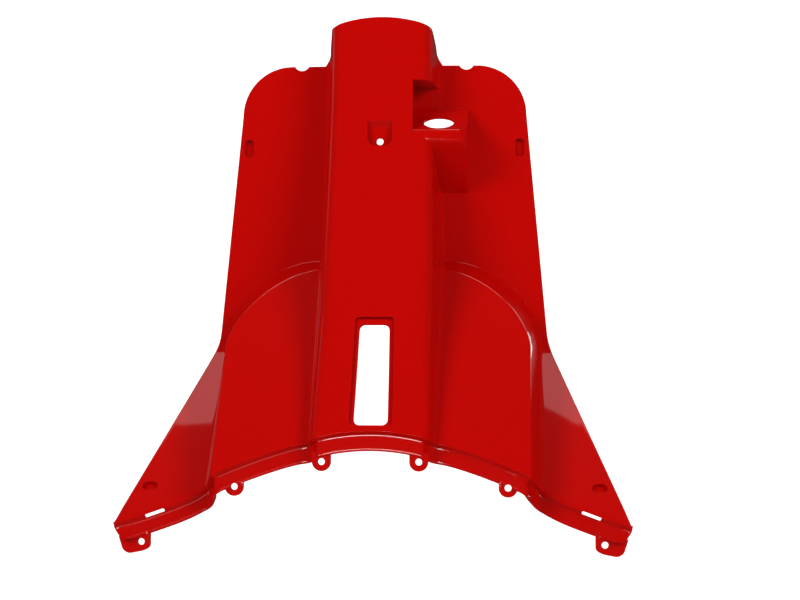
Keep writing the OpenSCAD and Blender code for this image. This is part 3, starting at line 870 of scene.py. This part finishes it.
@dataclass(frozen=True)
class LockPod:
    """The pod beside the column: a sloping shelf with the lock's hole, and the key recess over it."""

    column: Column
    sheet: Sheet
    lock_x: float = 59.0
    lock_drop: float = 65.0
    lock_t: float = 33.0
    lock_d: float = 31.0
    lean: float = 58.0
    side: float = 29.0
    inside: float = 26.0
    front: float = 10.0
    low: float = 69.0
    key_up: float = 42.0
    corner_r: float = 14.4
    low_r: float = 5.0
    lip_r: float = 2.2
    most: float = 20.0
    sunk: float = 1.2
    clear: float = 12.0
    reach: float = 120.0

    @property
    def lock_z(self) -> float:
        """Height of the middle of the lock's hole."""
        return self.sheet.wing_h - self.lock_drop

    @property
    def slope(self) -> float:
        """Fall of the shelf for each millimetre toward the rider."""
        return 1 / math.tan(math.radians(self.lean))

    @property
    def front_t(self) -> float:
        """Depth of the pod's front."""
        return min(float(self.column.face_t(self.lock_z)) - self.sunk, self.lock_t + self.most)

    def shelf_z(self, t: float) -> float:
        """Returns the height of the shelf at a depth."""
        return self.lock_z - (t - self.lock_t) * self.slope

    def body(self, shrink: float, over: float) -> Mesh:
        """Builds the pod's block, drawn in by a wall and reaching a height over the shelf."""
        t1, d = self.front_t, shrink
        x0, x1 = self.lock_x - self.inside, self.lock_x + self.side
        low = self.shelf_z(t1) - self.front
        k = (low - self.lock_z + self.low) / (t1 + 1)
        e = d * math.sqrt(1 + k * k)
        back = -1 - d * 2
        view = [
            (back, self.lock_z - self.low + e - d * k * 2), (t1 - d, low + e - d * k),
            (t1 - d, self.shelf_z(t1 - d) + over), (back, self.shelf_z(back) + over),
        ]
        side = block(rounded(view, [0, self.low_r, 0, 0], 8), Axis.ACROSS, x0 + d - 2, x1 - d + 2)
        corners = [(x0 + d, -self.most), (x0 + d, t1 - d), (x1 - d, t1 - d), (x1 - d, -self.most)]
        ring = rounded(corners, [0, 0, self.corner_r, 0], 12)
        return carve(side, block(ring, Axis.UP, self.lock_z - self.reach, self.lock_z + self.reach), Cut.KEEP)

    def key_walls(self, wall: float) -> Mesh:
        """Builds the walls of the key recess inside the column."""
        t1, z1 = self.front_t, self.lock_z + self.key_up
        x0 = self.lock_x - self.inside
        view = [
            (-wall, self.shelf_z(0) - wall * 2), (t1, self.shelf_z(t1) - wall * 2), (t1, z1 + wall), (-wall, z1 + wall),
        ]
        c = self.column
        blank = block(view, Axis.ACROSS, x0 - wall, float(c.foot_x(self.lock_z, 0)) + 4)
        edge = float(c.side_x(z1, c.face_t(z1))) - c.edge_r
        face = float(c.face_t(z1)) - c.face_fall - c.edge_r
        r = c.edge_r - 0.4
        foot = float(c.foot_x(z1, 0)) + 1
        plan = [(0.0, -wall), (foot, -wall), (foot, -0.3), (float(c.side_x(z1, 0)) - 0.4, -0.3)]
        plan += [(edge + r * math.cos(a), face + r * math.sin(a)) for a in np.linspace(0, math.pi / 2, 9)]
        plan += [(0.0, face + r)]
        half = self.reach / 2
        return carve(blank, block(plan, Axis.UP, self.lock_z - half, self.lock_z + half), Cut.KEEP)

    def key_space(self) -> Mesh:
        """Builds the space over the shelf that the key and the fingers need."""
        t1, z1 = self.front_t + self.most, self.lock_z + self.key_up
        front, r = self.front_t, self.lip_r
        back, low = 0.15, self.shelf_z(front) - r
        view = [(back, self.shelf_z(back)), (front + 0.02, self.shelf_z(front)), (front + 0.02, low)]
        view += [(t1, low), (t1, z1), (back, z1)]
        view = rounded(view, [0, r - 0.1, 0, 0, 0, 0], 6)
        return block(view, Axis.ACROSS, self.lock_x - self.inside, self.lock_x + self.side + self.clear)

    def hole(self, wall: float) -> Mesh:
        """Builds the rod that bores the lock's hole."""
        a = math.radians(self.lean)
        axis = Vector((0, -math.cos(a), math.sin(a)))
        return rod(Vector((self.lock_x, -self.lock_t, self.lock_z)), axis, self.lock_d / 2, -wall * 3, 4, 96)


@dataclass
class Graph:
    """A node tree in the making, with short names for its nodes."""

    tree: Tree
    prefix: str = "ShaderNode"
    nodes: dict[str, bpy.types.Node] = field(default_factory=dict)

    @classmethod
    def group(cls, name: str, prefix: str, takes: dict[str, str | float], gives: dict[str, str]) -> Graph:
        """Starts a node group.

        Args:
            name: the group's name.
            prefix: the start of its nodes' kinds.
            takes: its inputs, each with the kind of its socket, or with a number as its value.
            gives: its outputs, each with the kind of its socket.

        Returns:
            The group, with its inputs as the node "in" and its outputs as the node "out".
        """
        made = cls(bpy.data.node_groups.new(name, f"{prefix}Tree"), prefix)
        face = made.tree.interface
        for key, value in takes.items():
            kind = value if isinstance(value, str) else "Float"
            socket = face.new_socket(key, in_out="INPUT", socket_type=f"NodeSocket{kind}")
            if kind == "Float":
                socket.default_value = value
        for key, kind in gives.items():
            face.new_socket(key, in_out="OUTPUT", socket_type=f"NodeSocket{kind}")
        made.add("in", "NodeGroupInput")
        made.add("out", "NodeGroupOutput")
        return made

    def add(self, name: str, kind: str, **values) -> bpy.types.Node:
        """Adds a node of a kind, with or without its prefix, and fills its inputs."""
        self.nodes[name] = self.tree.nodes.new(kind if "Node" in kind else self.prefix + kind)
        return self.fill(name, **values)

    def fill(self, name: str, **values) -> bpy.types.Node:
        """Sets inputs of a node by their names, with underscores for spaces, and returns the node."""
        for key, value in values.items():
            self.nodes[name].inputs[key.replace("_", " ")].default_value = value
        return self.nodes[name]

    def use(self, name: str, group: Tree, **values) -> None:
        """Adds a shared group and fills its inputs."""
        self.add(name, "Group").node_tree = group
        self.fill(name, **values)

    def wire(self, *links: str) -> None:
        """Links nodes: each link reads 'node.output > node.input', and a number counts the sockets."""
        for link in links:
            (a, out), (b, into) = (end.split(".") for end in link.split(" > "))
            start = self.nodes[a].outputs[int(out) if out.isdigit() else out]
            self.tree.links.new(start, self.nodes[b].inputs[int(into) if into.isdigit() else into])


@dataclass
class EarRow:
    """The six screw ears along the flange, set out by a tree of nodes on their points."""

    wall: float
    hole_d: float = 6.5
    radius: float = 9.0
    root: float = 8.0
    behind: float = 1.2
    more: float = 0.4
    root_back: float = 16.0
    root_front: float = 1.0
    bore: float = 12.0
    inner: tuple[float, float, float] = (46.129, -148.902, -29.482)
    middle: tuple[float, float, float] = (130.151, -140.955, -53.518)
    outer: tuple[float, float, float] = (221.312, -129.258, -106.886)

    def tree(self, ring: Profile, name: str) -> Tree:
        """Builds the tree that puts a plate with the ring's outline on every point."""
        takes = {"Points": "Geometry", "Thickness": self.wall, "Finish": "Material"}
        graph = Graph.group(name, "GeometryNode", takes, {"Plates": "Geometry"})
        graph.add("line", "MeshLine", Count=len(ring))
        graph.add("index", "InputIndex")
        graph.add("spot", "ShaderNodeCombineXYZ")
        for axis, key in enumerate("xz"):
            switch = graph.add(key, "IndexSwitch")
            switch.data_type = "FLOAT"
            while len(switch.index_switch_items) < len(ring):
                switch.index_switch_items.new()
            for k, point in enumerate(ring):
                switch.inputs[k + 1].default_value = point[axis]
        for key, kind in (
            ("place", "SetPosition"), ("curve", "MeshToCurve"), ("flip", "FlipFaces"), ("whole", "JoinGeometry"),
            ("weld", "MergeByDistance"), ("on", "InstanceOnPoints"), ("real", "RealizeInstances"),
            ("dress", "SetMaterial"),
        ):
            graph.add(key, kind)
        graph.add("cyclic", "SetSplineCyclic", Cyclic=True)
        graph.add("face", "FillCurve").mode = "NGONS"
        graph.add("push", "ExtrudeMesh", Individual=False)
        graph.add("turn", "Transform", Rotation=(math.pi / 2, 0, 0))
        graph.wire(
            "index.Index > x.Index", "index.Index > z.Index", "x.0 > spot.X", "z.0 > spot.Y",
            "line.Mesh > place.Geometry", "spot.Vector > place.Position", "place.Geometry > curve.Mesh",
            "curve.Curve > cyclic.Geometry", "cyclic.Geometry > face.Curve", "face.Mesh > push.Mesh",
            "in.Thickness > push.Offset Scale", "face.Mesh > flip.Mesh", "push.Mesh > whole.Geometry",
            "flip.Mesh > whole.Geometry", "whole.Geometry > weld.Geometry", "weld.Geometry > turn.Geometry",
            "in.Points > on.Points", "turn.Geometry > on.Instance", "on.Instances > real.Geometry",
            "real.Geometry > dress.Geometry", "in.Finish > dress.Material", "dress.Geometry > out.Plates",
        )
        return graph.tree

    def plates(self, points: list[Vector], ring: Profile, name: str) -> Mesh:
        """Puts one plate on every point, with the points on their backs, and returns them as one closed mesh."""
        backs = [tuple(p + Vector((0, self.wall + self.behind, 0))) for p in points]
        holder = placed("ear_holder", mesh_of("ear_points", backs, []))
        tree = self.tree(ring, name)
        step = holder.modifiers.new("ears", "NODES")
        step.node_group = tree
        sockets = {s.name: s.identifier for s in tree.interface.items_tree if s.item_type == "SOCKET"}
        step[sockets["Thickness"]] = self.wall + self.more
        step[sockets["Finish"]] = bpy.data.materials.get("bare_plate") or bpy.data.materials.new("bare_plate")
        made = settled(holder)
        bpy.data.objects.remove(holder)
        return tidy(made)

    @property
    def spots(self) -> list[Vector]:
        """Middles of the six holes, each on the right and then on the left."""
        return [Vector((side * x, y, z)) for x, y, z in (self.inner, self.middle, self.outer) for side in (1, -1)]

    def all_plates(self) -> list[Mesh]:
        """Builds the four round ears and the two at the corners."""
        spots = self.spots
        return [
            self.plates(spots[:4], self.round_ring(), "round_ears"),
            self.plates([spots[4]], self.corner_ring(1), "right_corner_ear"),
            self.plates([spots[5]], self.corner_ring(-1), "left_corner_ear"),
        ]

    def roots(self) -> Mesh:
        """Builds the small blocks that tie the inner ears to the flange."""
        x, y, z = self.inner
        r, low = self.radius, self.radius * 2 / 3
        corners = [(x, z + low), (x + r, z + low), (x + r, z + r), (x, z + r)]
        return mirrored(block(corners, Axis.TOWARD, -y - self.root_back, -y - self.root_front))

    def holes(self) -> Mesh:
        """Builds the rods that bore the six holes."""
        y = Vector((0, 1, 0))
        return together([rod(p, y, self.hole_d / 2, -self.bore, self.bore, 48) for p in self.spots])

    def round_ring(self) -> Profile:
        """Returns the outline of a round ear with its root going up under the flange."""
        turns = np.linspace(math.pi, 2 * math.pi, 25)
        ring = [(self.radius * math.cos(a), self.radius * math.sin(a)) for a in turns]
        return ring + [(self.radius, self.root), (-self.radius, self.root)]

    def corner_ring(self, sign: int) -> Profile:
        """Returns the outline of an outer ear, which leans out to the corner."""
        corners = [(-9.0, 12.0), (-9.0, -5.0), (-2.6, -8.6), (12.0, -11.4), (17.8, -8.0), (22.0, 5.0), (12.0, 12.0)]
        ring = rounded(corners, [0, 3, 3, 3, 3, 0, 0], 5)
        return ring if sign > 0 else [(-x, z) for x, z in ring[::-1]]


@dataclass(frozen=True)
class Dimples:
    """The four shallow finger dimples, two at the edge of each wing and flare."""

    sheet: Sheet
    depth: float = 4.5
    drop: float = 85.0
    rise: float = 35.0
    upper: tuple[float, float, float] = (9.0, 10.0, 19.0)
    lower: tuple[float, float, float] = (13.0, 15.0, 11.0)

    def cup(self, x: float, z: float, w: float, h: float, deep: float, up: float) -> Mesh:
        """Builds a long block with round ends, sunk along the slope of the wing."""
        slope = float(self.sheet.ramp_t(z - 1) - self.sheet.ramp_t(z + 1)) / 2
        r, far, wide = min(w, h) / 2, abs(w - h) / 2, w > h
        ring: Profile = []
        for a in 2 * math.pi * shares(32):
            dx, dz = r * math.cos(a), r * math.sin(a)
            shift = far if (dx if wide else dz) > 0 else -far
            ring.append((dx + shift, dz) if wide else (dx, dz + shift))
        mesh = block(ring, Axis.TOWARD, -deep, up - deep)
        mesh.transform(
            Matrix.Translation((x, -float(self.sheet.base_t(x, z)), z)) @ Matrix.Rotation(-math.atan(slope), 4, "X")
        )
        return mesh

    def all(self, grow: float, deep: float, up: float) -> Mesh:
        """Builds the four blocks, grown by a wall; each is set in from the edge and has a width and a height."""
        s = self.sheet
        places = ((s.wing_h - self.drop, self.upper), (self.rise - s.corner_drop, self.lower))
        cups = [
            self.cup(float(s.edge_x(z)) - inset, z, w + grow, h + grow, deep, up) for z, (inset, w, h) in places
        ]
        return mirrored(together(cups))


@dataclass(frozen=True)
class Grain:
    """A node group that turns the object's own coordinates into a soft noise from 0 to 1."""

    name: str = "grain"

    def build(self) -> Tree:
        """Builds the group, with the scale and the detail as its inputs."""
        graph = Graph.group(self.name, "ShaderNode", {"Scale": 9.0, "Detail": 4.0}, {"Share": "Float"})
        graph.add("coord", "TexCoord")
        graph.add("noise", "TexNoise")
        graph.wire(
            "coord.Object > noise.Vector", "in.Scale > noise.Scale", "in.Detail > noise.Detail", "noise.Fac > out.Share"
        )
        return graph.tree


@dataclass(frozen=True)
class EdgeSheen:
    """A node group that rounds the shading of edges and masks them, in noise patches, for a painted highlight along
    them.
    """

    grain: Tree
    name: str = "painted_edge_sheen"
    patch_scale: float = 60.0
    flat: float = 0.995
    turned: float = 0.90

    def build(self) -> Tree:
        """Builds the group: the edge radius goes in, the rounded normal and the share of painted edge highlight come
        out.
        """
        graph = Graph.group(self.name, "ShaderNode", {"Radius": 0.001}, {"Normal": "Vector", "Worn": "Float"})
        graph.add("edge", "Bevel").samples = 6
        graph.add("flat", "NewGeometry")
        graph.add("turn", "VectorMath").operation = "DOT_PRODUCT"
        graph.add("near", "MapRange", From_Min=self.flat, From_Max=self.turned)
        graph.use("patch", self.grain, Scale=self.patch_scale, Detail=3.0)
        # Painted highlight mask: edges where the rounded normal turns away from the flat one, broken into noise
        # patches.
        graph.add("rub", "Math").operation = "MULTIPLY"
        graph.wire(
            "in.Radius > edge.Radius", "edge.Normal > turn.0", "flat.Normal > turn.1", "turn.Value > near.Value",
            "near.Result > rub.0", "patch.Share > rub.1", "edge.Normal > out.Normal", "rub.Value > out.Worn",
        )
        return graph.tree


@dataclass(frozen=True)
class Paint:
    """High-gloss red paint, with a faint orange peel, clouds in its gloss and a painted highlight on its edges."""

    color: tuple[float, float, float] = (0.60, 0.0016, 0.0004)
    deep: tuple[float, float, float] = (0.57, 0.0014, 0.0004)
    # Painted highlight: a lighter, pinker red mixed in on rounded edges, in noise patches.
    worn: tuple[float, float, float] = (0.66, 0.010, 0.006)
    gloss: tuple[float, float] = (0.24, 0.40)
    peel_scale: float = 420.0
    peel_height: float = 0.00003
    edge_r: float = 0.0007

    def build(self, name: str = "red_paint") -> bpy.types.Material:
        """Builds the material of the painted moulding."""
        mat = bpy.data.materials.new(name)
        mat.use_nodes = True
        mat.node_tree.nodes.clear()
        graph, grain = Graph(mat.node_tree), Grain().build()
        graph.add("out", "OutputMaterial")
        graph.add("skin", "BsdfPrincipled", IOR=1.45, Specular_IOR_Level=0.04)
        graph.fill("skin", Coat_Weight=1.0, Coat_Roughness=0.03, Coat_IOR=1.5)
        graph.use("cloud", grain)
        graph.use("fine", grain, Scale=self.peel_scale, Detail=2.0)
        graph.use("rubbed", EdgeSheen(grain).build(), Radius=self.edge_r)
        graph.add("haze", "MapRange", To_Min=self.gloss[0], To_Max=self.gloss[1])
        graph.add("peel", "Bump", Strength=0.25, Distance=self.peel_height)
        for key in ("fresh", "tint"):
            graph.add(key, "Mix").data_type = "RGBA"
        graph.fill("fresh", A=(*self.color, 1), B=(*self.deep, 1))
        # The tint paints the edge highlight into the base colour.
        graph.fill("tint", B=(*self.worn, 1))
        graph.wire(
            "cloud.Share > fresh.Factor", "rubbed.Worn > tint.Factor", "fresh.Result > tint.A",
            "tint.Result > skin.Base Color", "cloud.Share > haze.Value", "haze.Result > skin.Roughness",
            "fine.Share > peel.Height", "rubbed.Normal > peel.Normal", "peel.Normal > skin.Normal",
            "skin.BSDF > out.Surface",
        )
        return mat


@dataclass
class LegShield:
    """The whole moulding: shell, pocket, window, pod, ears, slots, notches and dimples in one skin."""

    sheet: Sheet = field(default_factory=Sheet)
    column: Column = field(default_factory=Column)
    slot_at: tuple[float, float, float] = (208.77, -125.54, -79.52)
    slot_l: float = 19.0
    slot_h: float = 3.0
    slot_r: float = 1.2
    slot_turn: float = 19.8
    notch_r: float = 8.0
    notch_x: float = 86.0
    notch_up: float = 4.5
    overlap: float = 0.3
    clear: float = 12.0
    cup_clear: float = 6.0
    cup_sunk: float = 0.8
    reach: float = 30.0
    depth_fit: float = 0.996
    weld: float = 2e-6
    sharp: float = 32.0

    def __post_init__(self) -> None:
        """Makes the parts that share the sheet and the column."""
        self.shell = Shell(ShellPlan(self.sheet, self.column, Footwell(self.sheet, self.column)))
        self.pocket = ScrewPocket(self.column, self.sheet.wall)
        self.window = Window(self.column, self.sheet.wall)
        self.pod = LockPod(self.column, self.sheet)
        self.ears = EarRow(self.sheet.wall)
        self.dimples = Dimples(self.sheet)

    def slots(self) -> Mesh:
        """Builds the blocks that cut the two slots."""
        x, z = self.slot_l / 2, self.slot_h / 2
        ring = rounded([(-x, -z), (x, -z), (x, z), (-x, z)], [self.slot_r] * 4, 4)
        slot = block(ring, Axis.TOWARD, -self.reach / 2, self.reach / 2)
        turn = Matrix.Rotation(math.radians(self.slot_turn), 4, "Y")
        slot.transform(Matrix.Translation(Vector(self.slot_at)) @ turn)
        return mirrored(slot)

    def notches(self) -> Mesh:
        """Builds the rods that cut the two notches in the top edge."""
        middle = Vector((self.notch_x, 0, self.sheet.wing_h + self.notch_up))
        return mirrored(rod(middle, Vector((0, 1, 0)), self.notch_r, -self.reach, self.reach))

    def steps(self) -> list[tuple[Mesh, Cut]]:
        """Returns every tool with what it does, in the order of the work."""
        wall, deep, pod = self.sheet.wall, self.dimples.depth, self.pod
        adds = [
            self.pocket.walls(), self.window.backing(), pod.body(0, self.overlap), pod.key_walls(wall),
            *self.ears.all_plates(), self.ears.roots(),
            self.dimples.all(2 * wall, deep + wall, deep + wall - self.cup_sunk),
        ]
        takes = [
            self.pocket.body(0, float(self.column.face_t(self.pocket.screw_z)) + self.clear), self.pocket.hole(),
            self.window.frame(), self.window.opening(), pod.body(wall, -wall * math.sqrt(1 + pod.slope**2)),
            pod.key_space(), pod.hole(wall), self.ears.holes(), self.slots(), self.notches(),
            self.dimples.all(0, deep, deep + self.cup_clear),
        ]
        return [(tool, Cut.ADD) for tool in adds] + [(tool, Cut.TAKE) for tool in takes]

    def build(self) -> Mesh:
        """Carves the whole moulding and returns it in metres in the row frame."""
        mesh = self.shell.mesh()
        for tool, how in self.steps():
            mesh = carve(mesh, tool, how)
        move = Matrix.Translation((0, self.pocket.seat_t, -self.pocket.screw_z))
        mesh.transform(Matrix.Diagonal((MM, MM * self.depth_fit, MM, 1)) @ move)
        return mesh

    def dress(self, mesh: Mesh) -> bpy.types.Object:
        """Smooths the mesh, paints it and makes it the object that stands for the CAD node."""
        bm = bmesh.new()
        bm.from_mesh(mesh)
        bmesh.ops.remove_doubles(bm, verts=bm.verts, dist=self.weld)
        bmesh.ops.dissolve_degenerate(bm, edges=bm.edges, dist=self.weld)
        bmesh.ops.triangulate(bm, faces=[f for f in bm.faces if len(f.verts) > 4])
        for f in bm.faces:
            f.smooth = True
        for e in bm.edges:
            e.smooth = len(e.link_faces) == 2 and e.calc_face_angle(0.0) < math.radians(self.sharp)
        bm.to_mesh(mesh)
        bm.free()
        mesh.materials.clear()
        mesh.materials.append(Paint().build())
        shield = placed("leg_shield_moulding", mesh)
        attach(shield, "root")
        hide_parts("leg_shield")
        return shield


class Role(Enum):
    """What a soft box does: light the colour, be mirrored in the gloss, or both."""

    BOTH = "both"
    FILL = "fill"
    SHINE = "shine"


@dataclass(frozen=True)
class SoftBox:
    """One soft box: where it hangs, where it points, how large and how bright it is."""

    name: str
    at: tuple[float, float, float]
    aim: tuple[float, float, float]
    size: tuple[float, float]
    radiance: float
    role: Role = Role.BOTH
    oval: bool = False


@dataclass(frozen=True)
class Studio:
    """A plain pale sweep, soft boxes and the camera at the photograph's angle."""

    floor_z: float = -0.60
    camera_at: tuple[float, float, float] = (0.1420, -1.8002, -0.3086)
    yaw: float = 3.845
    pitch: float = 4.676
    roll: float = -0.268
    lens: float = 81.0
    sensor: float = 36.0
    room: float = 0.03
    paper: float = 0.93
    paper_rough: float = 0.9
    boxes: tuple[SoftBox, ...] = (
        SoftBox("key_left", (-1.5, -1.7, 0.9), (0, 0, -0.12), (1.0, 1.0), 9.8, Role.FILL),
        SoftBox("key_right", (1.7, -1.6, 0.8), (0, 0, -0.12), (1.0, 1.0), 9.8, Role.FILL),
        SoftBox("overhead", (-0.135, 0.0, 1.3), (-0.135, 0.0, 0.0), (1.6, 0.672), 1.2, oval=True),
        SoftBox("overhead_strip", (-0.1, 0.22, 1.29), (-0.1, 0.22, 0.0), (1.5, 0.12), 7.0, Role.SHINE),
        SoftBox("low_strip", (-0.12, -1.25, -0.56), (-0.02, 0.0, -0.15), (0.26, 0.06), 16.0, Role.SHINE),
        SoftBox("low_glow", (0.1, -1.25, -0.58), (0.0, 0.0, -0.15), (1.0, 0.06), 1.8, Role.SHINE),
        SoftBox("left_window", (-1.6, 0.66, 0.9), (-0.06, 0.0, -0.15), (0.5, 0.9), 0.35, Role.SHINE),
        SoftBox("right_window", (1.2, 1.25, 1.05), (0.13, 0.0, -0.12), (0.8, 0.8), 2.0, Role.SHINE),
        SoftBox("right_wall", (0.98, 1.8, -0.03), (0.15, 0.0, -0.2), (0.6, 0.5), 1.6, Role.SHINE),
        SoftBox("backdrop", (0, 1.7, 2.2), (0, 4.0, 0.3), (4.0, 1.2), 9.0, Role.FILL),
    )

    def camera(self) -> bpy.types.Object:
        """Builds the camera and makes it the scene's own."""
        yaw, pitch, roll = (math.radians(v) for v in (self.yaw, self.pitch, self.roll))
        data = bpy.data.cameras.new("camera")
        data.lens, data.sensor_width = self.lens, self.sensor
        data.clip_start, data.clip_end = 0.05, 50
        cam = placed("camera", data)
        turn = Matrix.Rotation(yaw, 4, "Z") @ Matrix.Rotation(math.pi / 2 + pitch, 4, "X")
        cam.matrix_world = Matrix.Translation(self.camera_at) @ turn @ Matrix.Rotation(-roll, 4, "Z")
        bpy.context.scene.camera = cam
        return cam

    def sweep(self) -> bpy.types.Object:
        """Builds the floor with its backdrop curved up behind."""
        half, radius, back, tall, front = 6.0, 1.6, 4.0, 6.0, -6.0
        turns = [math.radians(90 * k / 24) for k in range(25)]
        bend = [(back - radius + radius * math.sin(a), self.floor_z + radius * (1 - math.cos(a))) for a in turns]
        section = [(front, self.floor_z), *bend, (back, self.floor_z + tall)]
        verts = [(x, y, z) for y, z in section for x in (-half, half)]
        faces = [[2 * k, 2 * k + 1, 2 * k + 3, 2 * k + 2] for k in range(len(section) - 1)]
        mesh = mesh_of("sweep", verts, faces)
        for f in mesh.polygons:
            f.use_smooth = True
        mat = bpy.data.materials.new("pale_paper")
        mat.use_nodes = True
        shader = mat.node_tree.nodes["Principled BSDF"]
        shader.inputs["Base Color"].default_value = (self.paper, self.paper, self.paper, 1)
        shader.inputs["Roughness"].default_value = self.paper_rough
        mesh.materials.append(mat)
        floor = placed("pale_sweep", mesh)
        floor.visible_glossy = False
        return floor

    @staticmethod
    def soft_box(box: SoftBox) -> bpy.types.Object:
        """Builds one soft box and returns its light."""
        data = bpy.data.lights.new(box.name, "AREA")
        data.shape, data.size, data.size_y = "ELLIPSE" if box.oval else "RECTANGLE", *box.size
        area = box.size[0] * box.size[1] * (math.pi / 4 if box.oval else 1)
        data.energy = box.radiance * math.pi * area
        light = placed(box.name, data)
        spot, goal = Vector(box.at), Vector(box.aim)
        light.location = spot
        light.rotation_euler = (goal - spot).to_track_quat("-Z", "Y").to_euler()
        light.visible_glossy, light.visible_diffuse = box.role is not Role.FILL, box.role is not Role.SHINE
        light.visible_camera = False
        return light

    def lights(self) -> None:
        """Sets the soft boxes and the room's faint glow."""
        world = bpy.data.worlds.new("room")
        bpy.context.scene.world = world
        world.use_nodes = True
        glow = world.node_tree.nodes["Background"]
        glow.inputs["Color"].default_value = (1, 1, 1, 1)
        glow.inputs["Strength"].default_value = self.room
        for box in self.boxes:
            self.soft_box(box)

    def set_up(self) -> None:
        """Builds the whole studio."""
        self.sweep()
        self.lights()
        self.camera()
        bpy.context.scene.view_settings.view_transform = "Standard"


def main() -> None:
    """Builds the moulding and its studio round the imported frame."""
    logging.basicConfig(level=logging.INFO, format="%(name)s: %(message)s", stream=sys.stdout)
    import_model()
    shield = LegShield()
    piece = shield.dress(shield.build())
    LOG.info("%s: %d faces", piece.name, len(piece.data.polygons))
    Studio().set_up()


if __name__ == "__main__":
    main()
